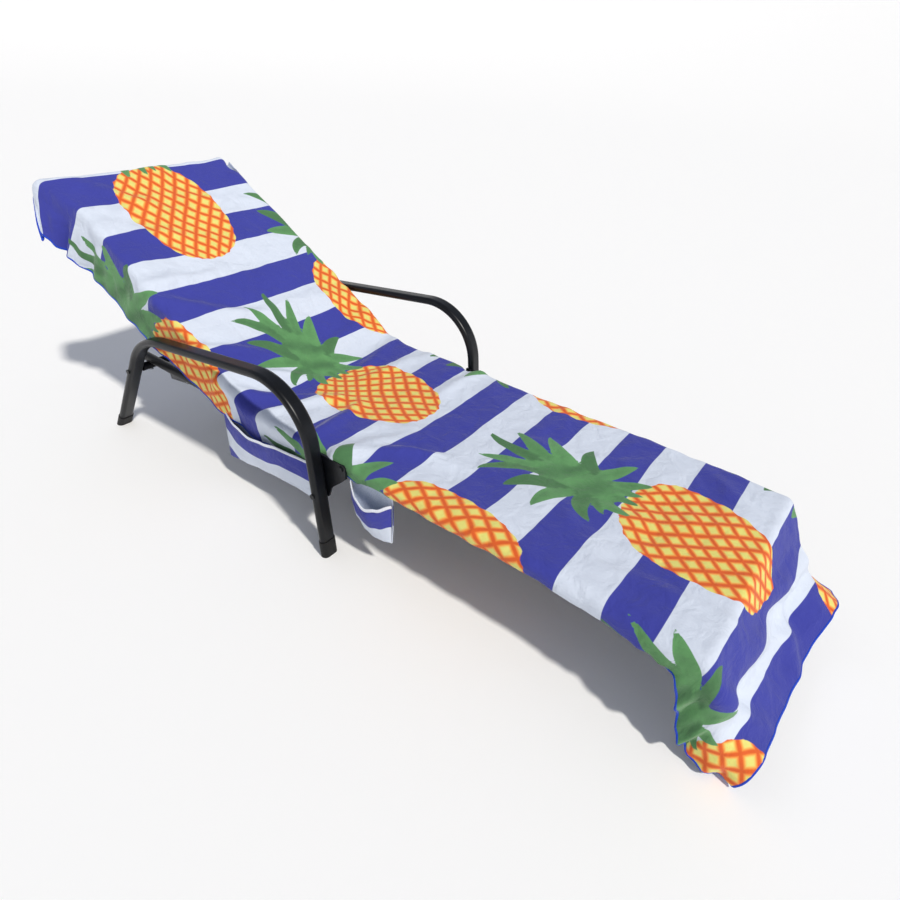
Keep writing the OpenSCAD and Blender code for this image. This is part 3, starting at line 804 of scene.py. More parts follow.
@dataclass(frozen=True)
class Place:
    """Where the lounger's main lines run, in metres."""

    hinge_x: float
    hinge_z: float
    recline: float  # radians from flat to the resting backrest
    seat_top: float
    cover_half: float  # half the cover's width over the rails
    foot_x: float  # the foot end bar's middle

    @classmethod
    def from_frame(cls) -> "Place":
        """Reads the hinge from the recline joint, and the rest from the nodes' boxes.

        Returns:
            The places.
        """
        joint = next(j for j in frame["joints"] if j["name"] == "backrest_recline")
        hinge_x, _, hinge_z = joint["pos_m"]
        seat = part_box("towel_seat")
        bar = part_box("foot_end_bar")
        return cls(
            hinge_x=hinge_x,
            hinge_z=hinge_z,
            recline=math.radians(-joint["range_deg"][0]),
            seat_top=seat[1].z,
            cover_half=seat[1].y,
            foot_x=(bar[0].x + bar[1].x) / 2,
        )

    def on_back(self, s: Array | float, n: Array | float) -> tuple[Array, Array]:
        """X and Z of a point on the backrest.

        Args:
            s: distance up the backrest from the hinge.
            n: distance in front of the hinge's plane.

        Returns:
            X and Z in the row frame.
        """
        cos, sin = math.cos(self.recline), math.sin(self.recline)
        return self.hinge_x - s * cos + n * sin, self.hinge_z + s * sin + n * cos


# ---- the cover ----


class Ridge(NamedTuple):
    """A long fold in the cover."""

    station: float  # distance of its middle along the cover from the hinge
    across: float  # distance of its middle from the centre line, negative on the right
    heading: float  # degrees, from the cover's length towards its left side
    length: float
    width: float
    height: float


RIDGES = [
    Ridge(-0.05, -0.20, 62, 0.30, 0.019, 0.016),
    Ridge(0.03, -0.17, 50, 0.28, 0.019, 0.014),
    Ridge(0.11, -0.20, 66, 0.24, 0.017, 0.013),
    Ridge(0.20, -0.19, 98, 0.24, 0.018, 0.013),
    Ridge(0.33, -0.21, 72, 0.22, 0.024, 0.012),
    Ridge(0.42, -0.20, 38, 0.26, 0.020, 0.012),
    Ridge(0.50, -0.12, 24, 0.34, 0.026, 0.005),
    Ridge(-0.16, -0.22, 74, 0.24, 0.019, 0.014),
    Ridge(-0.30, -0.17, 68, 0.32, 0.022, 0.012),
    Ridge(-0.41, -0.20, 80, 0.28, 0.020, 0.010),
    Ridge(-0.22, 0.05, 78, 0.42, 0.030, 0.006),
    Ridge(-0.55, -0.12, 60, 0.36, 0.026, 0.005),
    Ridge(-0.64, 0.08, 84, 0.40, 0.024, 0.004),
    Ridge(-0.71, -0.16, 40, 0.22, 0.022, 0.006),
    Ridge(-0.10, 0.18, 100, 0.26, 0.022, 0.007),
    Ridge(0.02, 0.20, 112, 0.24, 0.020, 0.008),
    Ridge(0.14, 0.17, 84, 0.28, 0.022, 0.006),
    Ridge(0.32, 0.20, 96, 0.22, 0.022, 0.010),
    Ridge(0.68, 0.10, 14, 0.46, 0.030, 0.004),
    Ridge(0.80, -0.10, -18, 0.42, 0.030, 0.004),
    Ridge(0.98, 0.02, 30, 0.40, 0.032, 0.0045),
    Ridge(1.08, -0.20, 14, 0.26, 0.022, 0.006),
    Ridge(1.12, 0.18, -28, 0.24, 0.022, 0.006),
    Ridge(1.30, 0.16, 70, 0.34, 0.030, 0.016),
    Ridge(1.34, -0.05, 48, 0.36, 0.034, 0.014),
    Ridge(1.33, -0.24, 20, 0.30, 0.024, 0.012),
    Ridge(1.40, 0.06, -30, 0.24, 0.024, 0.009),
]


@dataclass(frozen=True)
class CoverEdge:
    """How one long side of the cover hangs, as tables along it.

    Each table's places are distances along the cover from the hinge, negative up the backrest.
    """

    half: Table  # from the centre line to the edge where the cover turns down
    tilt: Table  # degrees that the flap leans in under the rail
    flap: Table  # how far the flap hangs down
    tuck: Table  # how much of it is turned in underneath
    round: Table  # radius of the turn over the rail


RIGHT_EDGE = CoverEdge(
    half=[
        (-0.84, 0.297), (-0.76, 0.291), (-0.62, 0.281), (-0.4, 0.280), (-0.1, 0.282), (0.05, 0.284),
        (0.26, 0.284), (0.29, 0.275), (0.325, 0.277), (0.345, 0.286), (0.42, 0.285), (1.0, 0.286),
        (1.1, 0.290), (1.2, 0.290), (1.5, 0.262),
    ],
    tilt=[
        (-0.84, -14), (-0.7, -10), (-0.55, -1), (-0.1, 1), (0.0, 8), (0.27, 8), (0.31, 40), (0.35, 20),
        (0.42, 6), (1.0, 8), (1.15, 0), (1.35, -6), (1.5, -2),
    ],
    flap=[
        (-0.84, 0.105), (-0.6, 0.138), (-0.36, 0.134), (-0.28, 0.112), (-0.12, 0.086), (-0.02, 0.066),
        (0.25, 0.058), (0.29, 0.008), (0.34, 0.008), (0.38, 0.022), (0.44, 0.012), (0.9, 0.008),
        (1.08, 0.012), (1.15, 0.040), (1.2, 0.080), (1.28, 0.098), (1.36, 0.070), (1.44, 0.040),
        (1.5, 0.024),
    ],
    tuck=[
        (-0.1, 0.0), (0.36, 0.0), (0.44, 0.06), (0.95, 0.07), (1.08, 0.05), (1.17, 0.0), (1.36, 0.0),
        (1.5, 0.012),
    ],
    round=[(0.8, 0.016), (0.95, 0.030), (1.08, 0.034), (1.16, 0.022), (1.3, 0.028), (1.5, 0.032)],
)

LEFT_EDGE = CoverEdge(
    half=[
        (-0.84, 0.222), (-0.78, 0.232), (-0.68, 0.254), (-0.5, 0.268), (-0.3, 0.276), (0.0, 0.284),
        (0.26, 0.284), (0.29, 0.275), (0.318, 0.277), (0.335, 0.290), (0.37, 0.290), (0.42, 0.285),
        (1.0, 0.286), (1.2, 0.280), (1.5, 0.262),
    ],
    tilt=[
        (-0.84, -4), (-0.55, 2), (0.0, 8), (0.27, 8), (0.30, 40), (0.335, 10), (0.42, 6), (1.1, 4),
        (1.2, -6), (1.34, -48), (1.5, -66),
    ],
    flap=[
        (-0.84, 0.070), (-0.5, 0.085), (-0.1, 0.080), (0.0, 0.066), (0.25, 0.058), (0.29, 0.008),
        (0.36, 0.008), (0.40, 0.04), (0.5, 0.04), (0.9, 0.04), (1.1, 0.070), (1.25, 0.088), (1.5, 0.085),
    ],
    tuck=[(-0.1, 0.0), (0.36, 0.0), (0.44, 0.03), (0.85, 0.03), (1.05, 0.0)],
    round=[(1.1, 0.016), (1.4, 0.04)],
)

# headings of the side flaps in the XZ plane, in degrees, by distance from the hinge
FLAP_HEADINGS = [
    (-0.84, -66), (-0.79, -80), (-0.66, -118), (-0.24, -118), (0.0, -92), (1.0, -90), (1.3, -116),
    (1.5, -120),
]

# stripe numbers, by distance from the hinge; a stripe is narrower where the cover gathers at the hinge
STRIPE_MARKS = [(-0.7795, 2.0), (-0.069, 9.0), (0.1851, 12.0), (1.1965, 22.0)]

# how the foot skirt's hem is moved in X, Y and Z, by distance across the cloth
HEM_MOVES = [
    (-0.46, (0.0, 0.020, 0.014)),
    (-0.38, (-0.002, -0.004, 0.006)),
    (-0.30, (-0.006, -0.012, 0.020)),
    (-0.24, (-0.014, -0.002, 0.026)),
    (-0.18, (-0.014, 0.0, 0.020)),
    (-0.04, (-0.006, 0.0, 0.004)),
    (0.10, (0.002, 0.0, -0.004)),
    (0.20, (0.020, 0.0, 0.034)),
    (0.28, (0.030, 0.0, 0.044)),
    (0.38, (0.030, 0.0, 0.044)),
]

# how far the pattern has drifted to the left, by stripe number, at the middle and on the left side
DRIFT = [(3.6, -0.042), (12.0, 0.006), (19.5, 0.022), (22.4, -0.028), (24.5, 0.0)]
LEFT_DRIFT = [(3.6, -0.042), (12.0, 0.006), (19.5, 0.022), (22.8, 0.026), (25.2, -0.05)]

# how many stripes the fruit are moved along, by stripe number
FRUIT_SHIFT = [(3.62, -0.07), (11.95, 0.05), (20.85, -0.40), (30, -0.40)]


@dataclass(frozen=True)
class CoverShape:
    """The cover's points, and where each of them is on the flat cloth."""

    points: Array
    across: Array  # distance from the centre line, negative on the right
    along: Array  # distance from the head edge
    number: Array  # stripe number


@dataclass
class TowelCover:
    """The cover's main sheet, from its head edge over the backrest, the seat and the foot to its hem."""

    place: Place
    right: CoverEdge = RIGHT_EDGE
    left: CoverEdge = LEFT_EDGE
    back_offset: float = 0.0180  # from the hinge's plane to the cloth on the backrest
    head_reach: float = 0.8110  # from the hinge up to the head end's fold
    head_depth: float = 0.044  # how far the cloth hangs over that fold
    head_lean: float = 0.007
    foot_turn: float = 0.0105  # from the foot bar's middle to the corner of the fold over it
    turn_radii: tuple[float, ...] = (0.015, 0.13, 0.023, 0.08, 0.05)  # at each inner corner in turn
    # how far each run of the foot skirt goes out and down
    drops: tuple[tuple[float, float], ...] = ((0.050, 0.088), (0.012, 0.078), (0.086, 0.068))
    tuck_radius: float = 0.011
    tuck_onset: float = 0.03  # a tuck of this length is turned in all the way
    least_run: float = 3 * MILLIMETRE  # keeps the faces of a run that vanishes from being empty
    seat_sag: float = 0.0085
    ripple_height: float = 0.0075
    ripple_lengths: tuple[float, float] = (0.115, 0.049)
    corner_droop: tuple[float, float, float] = (-0.036, -0.022, -0.006)
    thickness: float = 0.0020
    floor_gap: float = 0.006
    floor_softness: float = 0.004
    step: float = 0.0071  # between rows, where they don't lie closer
    columns: tuple[int, int, int, int, int] = (38, 5, 9, 3, 4)  # of the five runs of a half section
    hem_width: float = 0.0056
    hem_height: float = 0.0046
    flat: tuple[float, float] = (0.80, 2.33)

    def _corners(self) -> Array:
        """Corners of the centre line: head edge, top edge, hinge and foot bar, then the skirt's runs.

        Returns:
            X and Z of each corner.
        """
        p = self.place
        top = p.on_back(self.head_reach, self.back_offset)
        edge = p.on_back(self.head_reach - self.head_lean, self.back_offset - self.head_depth)
        rise = p.seat_top - p.hinge_z - self.back_offset * math.cos(p.recline)
        crease = p.on_back(rise / math.sin(p.recline), self.back_offset)
        over = (p.foot_x + self.foot_turn, p.seat_top)
        skirt = np.array(over) + np.cumsum(np.array(self.drops) * [1, -1], 0)
        return np.vstack([edge, top, crease, over, skirt])

    def _centre_line(self) -> tuple[Array, Array, float]:
        """Lays the centre line out as straight runs joined by arcs.

        The heading is constant on a run and turns evenly on an arc, and the place is its integral. Rows
        lie closer together round the head's and the foot's folds.

        Returns:
            Distances along the cover, places in X and Z, and the distance at the hinge's crease.
        """
        corners = self._corners()
        legs = np.diff(corners, axis=0)
        lengths = np.hypot(legs[:, 0], legs[:, 1])
        headings = np.arctan2(legs[:, 1], legs[:, 0])
        turns = np.abs(np.diff(headings))
        setback = np.concatenate([[0], np.array(self.turn_radii) * np.tan(turns / 2), [0]])
        runs = lengths - setback[:-1] - setback[1:]
        arcs = np.concatenate([np.array(self.turn_radii) * turns, [0]])
        ends = np.cumsum(np.stack([runs, arcs], 1).ravel())
        marks = np.concatenate([[0], ends[:-1]])
        fine_step, crowding = 0.5 * MILLIMETRE, 0.9
        fine = np.arange(0, marks[-1] + fine_step, fine_step)
        heading = np.interp(fine, marks, np.repeat(headings, 2))
        steps = np.stack([np.cos(heading), np.sin(heading)], -1)
        middle = (steps[1:] + steps[:-1]) / 2 * fine_step
        track = corners[0] + np.concatenate([np.zeros((1, 2)), np.cumsum(middle, 0)])
        head_fold, crease, foot_fold = ((marks[i] + marks[i + 1]) / 2 for i in (1, 3, 5))
        dense = np.ones_like(fine)
        for fold, width in ((head_fold, 0.025), (foot_fold, 0.03)):
            dense += crowding * np.exp(-(((fine - fold) / width) ** 2))
        count = np.cumsum(dense)
        rows = int(count[-1] * fine_step / self.step)
        along = np.interp(np.linspace(count[0], count[-1], rows), count, fine)
        place = np.stack([np.interp(along, fine, track[:, 0]), np.interp(along, fine, track[:, 1])], -1)
        return along, place, crease

    def _half_section(self, edge: CoverEdge, station: Array) -> tuple[Array, Array]:
        """Section of one half of the cover at each row, from the centre line out.

        A flat run, a turn over the rail, the flap's straight drop, a second turn, and the part that is
        tucked in underneath: places are running sums of step * cos(angle) and step * sin(angle).

        Args:
            edge: how this side hangs.
            station: each row's distance from the hinge.

        Returns:
            Distance out and distance down, with a row for each station.
        """
        half, flap, tuck = (soft_table(station, t)[:, None] for t in (edge.half, edge.flap, edge.tuck))
        lean = np.radians(90 + soft_table(station, edge.tilt))[:, None]
        inward = lean + (math.pi - lean) * smooth_step(0, self.tuck_onset, tuck)
        q, least = self.tuck_radius, self.least_run
        r = soft_table(station, edge.round)[:, None]
        lengths = (half - r, r * lean, flap, q * (inward - lean) + least, tuck + least)
        turns = ((0, 0), (0, lean), (lean, lean), (lean, inward), (inward, inward))
        steps, angles = [], []
        for count, length, (first, last) in zip(self.columns, lengths, turns):
            t = (np.arange(count)[None, :] + 0.5) / count
            steps.append(length / count + 0 * t)
            angles.append(first + (last - first) * t + 0 * half)
        step, angle = np.concatenate(steps, 1), np.concatenate(angles, 1)
        start = np.zeros_like(half)
        out = np.concatenate([start, np.cumsum(step * np.cos(angle), 1)], 1)
        return out, np.concatenate([start, np.cumsum(step * np.sin(angle), 1)], 1)

    def _stripe_number(self, along: Array, crease: float) -> Array:
        """Works out the stripe number along the centre line.

        Args:
            along: each row's distance from the head edge.
            crease: that distance at the hinge.

        Returns:
            A number for each row, whole at each stripe's edge.
        """
        stations, numbers = (np.array(column) for column in zip(*STRIPE_MARKS))
        station = along - crease
        number = np.interp(station, stations, numbers)
        before, beyond = ((station - stations[i]) / PATTERN.stripe + numbers[i] for i in (0, -1))
        number = np.where(station < stations[0], before, number)
        return np.where(station > stations[-1], beyond, number)

    def _wrinkles(self, station: Array, across: Array) -> Array:
        """Height of the folds above the cover's plain shape.

        Soft clouds of three sizes, and ridges: amplitude * exp(-(distance from its line / width)^2), faded
        at the line's ends.

        Args:
            station: distance along the cover from the hinge.
            across: distance from the centre line along the cloth, negative on the right.

        Returns:
            Heights in metres.
        """
        slant = station + 0.35 * across
        lift = np.zeros_like(slant)
        for height, size, seed, along, aside in (
            (0.0030, 0.17, 3, slant, across * 1.5),
            (0.0021, 0.06, 5, slant * 1.6, across),
            (0.0010, 0.028, 7, station, across * 1.3),
        ):
            lift += height * cloud(along, aside, size, seed)
        on_back = smooth_step(0.0, -0.2, station)
        lift *= 1 + 0.5 * on_back
        bow, trough_depth, trough_offset = 0.02, 0.35, 1.7
        for ridge in RIDGES:
            turn = math.radians(ridge.heading)
            ds, da = station - ridge.station, across - ridge.across
            run = ds * math.cos(turn) + da * math.sin(turn)
            off = -ds * math.sin(turn) + da * math.cos(turn) + bow * np.sin(run * 9 + ridge.station * 40)
            fade = np.exp(-((run / (ridge.length / 2)) ** 4))
            lift += ridge.height * np.exp(-((off / ridge.width) ** 2)) * fade
            beside = off / ridge.width - trough_offset
            lift -= trough_depth * ridge.height * np.exp(-(beside**2)) * fade
        # hollows stay shallow over the sling and the foot bar, and may be deeper in the skirt
        on_sling = 1 - smooth_step(1.0, 1.1, station)
        in_skirt = smooth_step(1.23, 1.31, station)
        return np.maximum(lift, -0.0022 * on_sling - 0.012 * in_skirt)

    def _sag(self, station: Array, y: Array) -> Array:
        """How far the cloth sinks on the slings between the rails: sag * cos(pi y / 2 w)^2.

        Args:
            station: distance along the cover from the hinge.
            y: distance to the left of the lounger's middle.

        Returns:
            Depths in metres.
        """
        inside = np.clip(np.abs(y) / (self.place.cover_half - 0.02), 0, 1)
        held = smooth_step(-0.79, -0.70, station) * (1 - smooth_step(0.98, 1.12, station))
        return self.seat_sag * np.cos(inside * math.pi / 2) ** 2 * held

    def _ripple(self, station: Array, down: Array) -> Array:
        """How far the side flaps wave out: two sines along them, more the further they hang.

        Args:
            station: distance along the cover from the hinge.
            down: distance that the flap hangs down.

        Returns:
            Distances outwards in metres.
        """
        hanging = smooth_step(0.02, 0.10, down)
        long_wave, short_wave = (station * 2 * math.pi / length for length in self.ripple_lengths)
        wave = np.sin(long_wave + 1.2 * np.sin(station * 9)) + 0.6 * np.sin(short_wave + 2)
        held = smooth_step(-0.62, -0.56, station) * (1 - smooth_step(0.98, 1.1, station))
        return self.ripple_height * hanging * wave * (1 - 0.75 * held)

    def _move_ends(self, points: Array, station: Array, across: Array) -> None:
        """Droops the head end's right corner past the frame, and flares the foot skirt at its hem.

        What would then hang below the floor lies on it: z = lie + soft * log(1 + e^((z - lie) / soft)).

        Args:
            points: the sheet's points, which are moved.
            station: distance along the cover from the hinge.
            across: distance from the centre line along the cloth.
        """
        corner = smooth_step(-0.68, -0.80, station) * smooth_step(-0.22, -0.31, across)
        points += corner[..., None] * np.array(self.corner_droop)
        flared = smooth_step(1.20, 1.52, station)
        for axis in range(3):
            points[..., axis] += flared * soft_table(across, [(a, move[axis]) for a, move in HEM_MOVES])
        lie, soft = self.floor_gap, self.floor_softness
        points[..., 2] = lie + soft * np.logaddexp(0, (points[..., 2] - lie) / soft)

    def _shape(self) -> CoverShape:
        """Works out the sheet: its points, and where they are on the flat cloth.

        Each row is a section across the centre line. Its flaps hang straight down beside the seat,
        nearly square to the backrest beside it, and turn back under the cover at its two ends.

        Returns:
            The sheet's shape, with a row for each station.
        """
        along, place, crease = self._centre_line()
        station = along - crease
        right_y, right_down = self._half_section(self.right, station)
        left_y, left_down = self._half_section(self.left, station)
        y = np.concatenate([-right_y[:, :0:-1], left_y], 1)
        down = np.concatenate([right_down[:, :0:-1], left_down], 1)
        middle = right_y.shape[1] - 1
        gap = np.hypot(np.diff(y, axis=1), np.diff(down, axis=1))
        reach = np.concatenate([np.zeros((len(y), 1)), np.cumsum(gap, 1)], 1)
        across = reach - reach[:, middle : middle + 1]
        row = np.broadcast_to(station[:, None], y.shape)
        hang = np.radians(soft_table(station, FLAP_HEADINGS))
        drop = np.stack([np.cos(hang), hang * 0, np.sin(hang)], -1)[:, None]
        centre = np.stack([place[:, 0], place[:, 0] * 0, place[:, 1]], -1)[:, None]
        points = centre + y[..., None] * np.array([0, 1.0, 0]) + down[..., None] * drop
        lift = self._wrinkles(row, across) - self._sag(row, y)
        points = points + lift[..., None] * row_normals(points)
        points[..., 1] += np.sign(y) * self._ripple(row, down)
        self._move_ends(points, row, across)
        number = self._stripe_number(along, crease)
        return CoverShape(
            points=points,
            across=across,
            along=np.broadcast_to(along[:, None], y.shape),
            number=np.broadcast_to(number[:, None], y.shape),
        )

    def _print(self, shape: CoverShape) -> dict[str, Array]:
        """Works out the print's fields.

        The cover lies a little askew, so the pattern drifts to the left towards its hem. It wavers with
        the cloth, is pulled out towards the sides at the hinge, and bunches up at its right side there.

        Args:
            shape: the sheet's shape.

        Returns:
            The fields that the print's material reads, for each point.
        """
        number, across, along = shape.number, shape.across, shape.along
        middle, left, fruit_shift = (np.interp(number, *zip(*t)) for t in (DRIFT, LEFT_DRIFT, FRUIT_SHIFT))
        drift = middle + (left - middle) * smooth_step(0.10, 0.24, across)
        outer = smooth_step(0.08, 0.24, across) + 0.3 * smooth_step(0.08, 0.24, -across)
        hinge_stripe, hinge_spread, pull = 8.1, 2.2, 0.042
        pulled = pull * np.exp(-(((number - hinge_stripe) / hinge_spread) ** 2)) * outer
        waver = 0.05 * cloud(along, across, 0.22, 11) + 0.022 * cloud(along, across, 0.07, 13)
        sway = 0.004 * cloud(along, across, 0.12, 17)
        gathered = smooth_step(8.0, 9.6, number) * (1 - smooth_step(10.4, 12.4, number))
        right_edge = 1 - smooth_step(-0.27, -0.14, across)
        bunch = 0.55 * gathered * right_edge
        seen = (number + waver + bunch).ravel()
        return PATTERN.fields(seen, (across - drift + pulled + sway).ravel(), seen + fruit_shift.ravel())

    def _edging(self, points: Array) -> Object:
        """Makes the overlocked thread round the whole edge of the sheet, as an oval along its border.

        Args:
            points: the sheet's points.

        Returns:
            The thread.
        """
        normals = row_normals(points)
        border, lift = (
            np.concatenate([grid[:-1, 0], grid[-1, :-1], grid[:0:-1, -1], grid[0, :0:-1]])
            for grid in (points, normals)
        )
        smooth = sum(np.roll(border, k, 0) * w for k, w in ((-1, 0.25), (0, 0.5), (1, 0.25)))
        place = smooth - lift * self.thickness / 2
        ring, quads = sweep(place, lift, oval_outline(self.hem_width, self.hem_height, 8), True)
        return make_piece("cover_overlock", ring, quads, [OVERLOCK.material()])

    def build(self) -> list[Object]:
        """Builds the sheet and its overlocked edge.

        Returns:
            The two pieces.
        """
        shape = self._shape()
        points = shape.points
        rows, cols = points.shape[:2]
        margins = np.array([0.5, 0.05])  # keep the map's numbers above 0
        uv = (np.stack([shape.across, shape.along], -1) + margins).reshape(-1, 2) / UV_METRES
        sheet = make_piece(
            "towel_cover",
            points.reshape(-1, 3),
            grid_quads(rows, cols),
            [PRINT.material(), REVERSE.material()],
            uv,
            self._print(shape),
        )
        thicken(sheet, self.thickness, True)
        edging = self._edging(points)
        for piece in (sheet, edging):
            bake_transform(piece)
        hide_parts("towel_seat", "towel_back", "towel_drop")
        return [sheet, edging]


@dataclass
class HeadHood:
    """The hood that slips over the head end: a rear panel and two gussets, sewn inside the cover."""

    place: Place
    reach: float = 0.803  # from the hinge up to the panel's top
    depth: float = 0.240
    half: float = 0.2555  # half its width
    rear: float = -0.0165  # from the hinge's plane to the panel, behind the tubes
    gusset: float = 0.020  # depth of the gussets
    radius: float = 0.012  # of the turn from a gusset to the panel
    sag: float = 0.007
    tape_width: float = 0.0042
    tape_height: float = 0.009
    corner_start: float = 0.19  # the mouth's corners round off beyond this distance from the middle
    corner_drop: float = 0.010
    first_stripe: float = 1.35
    rows: int = 36
    thickness: float = 0.0018
    flat: tuple[float, float] = (0.60, 0.24)

    def _section(self) -> tuple[Array, Array]:
        """One row of the panel: down one gusset, round a quarter turn, across and up the other side.

        Returns:
            Y, and the distance in front of the panel, at each point.
        """
        r, half = self.radius, self.half
        gusset_points, panel_points = 5, 60
        bend = np.linspace(0, math.pi / 2, 6)[1:]
        side_y = np.concatenate([np.full(gusset_points, -half), -half + r * (1 - np.cos(bend))])
        side_lift = np.concatenate([np.linspace(self.gusset, r, gusset_points), r * (1 - np.sin(bend))])
        flat_y = np.linspace(-(half - r), half - r, panel_points)[1:-1]
        y = np.concatenate([side_y, flat_y, -side_y[::-1]])
        return y, np.concatenate([side_lift, 0 * flat_y, side_lift[::-1]])

    def _surface(self) -> tuple[Array, Array, Array]:
        """Lays rows of that section down the backrest, with a sag of cos^2 behind the tubes.

        Returns:
            Points, UVs and stripe numbers, with a row for each step down.
        """
        y, lift = self._section()
        t = np.linspace(0, 1, self.rows)[:, None]
        s = self.reach - self.depth * t
        hang = self.sag * np.cos(np.clip(y / self.half, -1, 1) * math.pi / 2) ** 2
        crumple = 0.0012 * cloud(s + 0 * y, y + 0 * s, 0.05, 21)
        n = self.rear + lift - hang * (0.3 + 0.7 * t) + crumple
        corner = np.maximum(np.abs(y) - self.corner_start, 0) / (self.half - self.corner_start)
        s = s - self.corner_drop * corner**2 * np.exp(-((self.reach - s) / 0.05))
        x, z = self.place.on_back(s, n)
        points = np.stack([x, np.broadcast_to(y, x.shape), z], -1)
        run = np.concatenate([[0], np.cumsum(np.hypot(np.diff(y), np.diff(lift)))])
        down = np.broadcast_to(self.depth * t, x.shape)
        uv = np.stack([np.broadcast_to(run, x.shape), down], -1) / UV_METRES
        number = self.first_stripe - down / PATTERN.stripe
        return points[:, ::-1], uv[:, ::-1], number[:, ::-1]

    def build(self) -> list[Object]:
        """Builds the hood and its taped mouth.

        Returns:
            The two pieces.
        """
        points, uv, number = self._surface()
        sheet = make_piece(
            "hood_panel",
            points.reshape(-1, 3),
            grid_quads(*points.shape[:2])[:, ::-1],
            [PRINT.material(), REVERSE.material()],
            uv.reshape(-1, 2),
            PATTERN.plain(number.ravel()),
        )
        self._face_out(sheet)
        thicken(sheet, self.thickness, True)
        mouth = points[-1]
        outline = oval_outline(self.tape_width, self.tape_height, 8)
        ring, quads = sweep(mouth, np.tile([0.0, 0, 1.0], (len(mouth), 1)), outline, False)
        tape = make_piece("hood_mouth_tape", ring, quads, [TAPE.material()])
        for piece, slot in ((sheet, "towel_print"), (tape, "towel_binding")):
            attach(piece, "backrest")
        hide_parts("towel_hood")
        return [sheet, tape]

    def _face_out(self, sheet: Object) -> None:
        """Turns the panel's faces so that they look away from the backrest, whose back is below it.

        Args:
            sheet: the panel.
        """
        normal = np.zeros(len(sheet.data.polygons) * 3, np.float32)
        sheet.data.polygons.foreach_get("normal", normal)
        if normal.reshape(-1, 3)[:, 2].mean() > 0:
            sheet.data.flip_normals()


@dataclass(frozen=True)
class PocketCut:
    """How one kind of pocket is cut and hangs. Its tables run evenly from its head end to its foot end."""

    gape: float  # how far its mouth stands open
    swag: tuple[float, ...]  # how far its mouth dips
    hem: tuple[float, ...]  # how far its fold is above the bottom of its box
    ends: tuple[float, float]  # how far its two ends are moved from its box's
    bulge: float


POCKET_CUTS = {
    "side_pocket": PocketCut(
        gape=0.012,
        swag=(-0.004, 0.022, 0.030, 0.022, 0.012, 0.012, 0.016),
        hem=(-0.020, -0.012, -0.002, 0.004, 0.006, 0.0),
        ends=(-0.028, -0.016),
        bulge=0.004,
    ),
    "end_pocket": PocketCut(
        gape=0.018,
        swag=(0.000, 0.028, 0.040, 0.030, 0.014),
        hem=(0.068, 0.026, 0.004, -0.004, -0.002, 0.004),
        ends=(-0.010, -0.012),
        bulge=0.007,
    ),
}


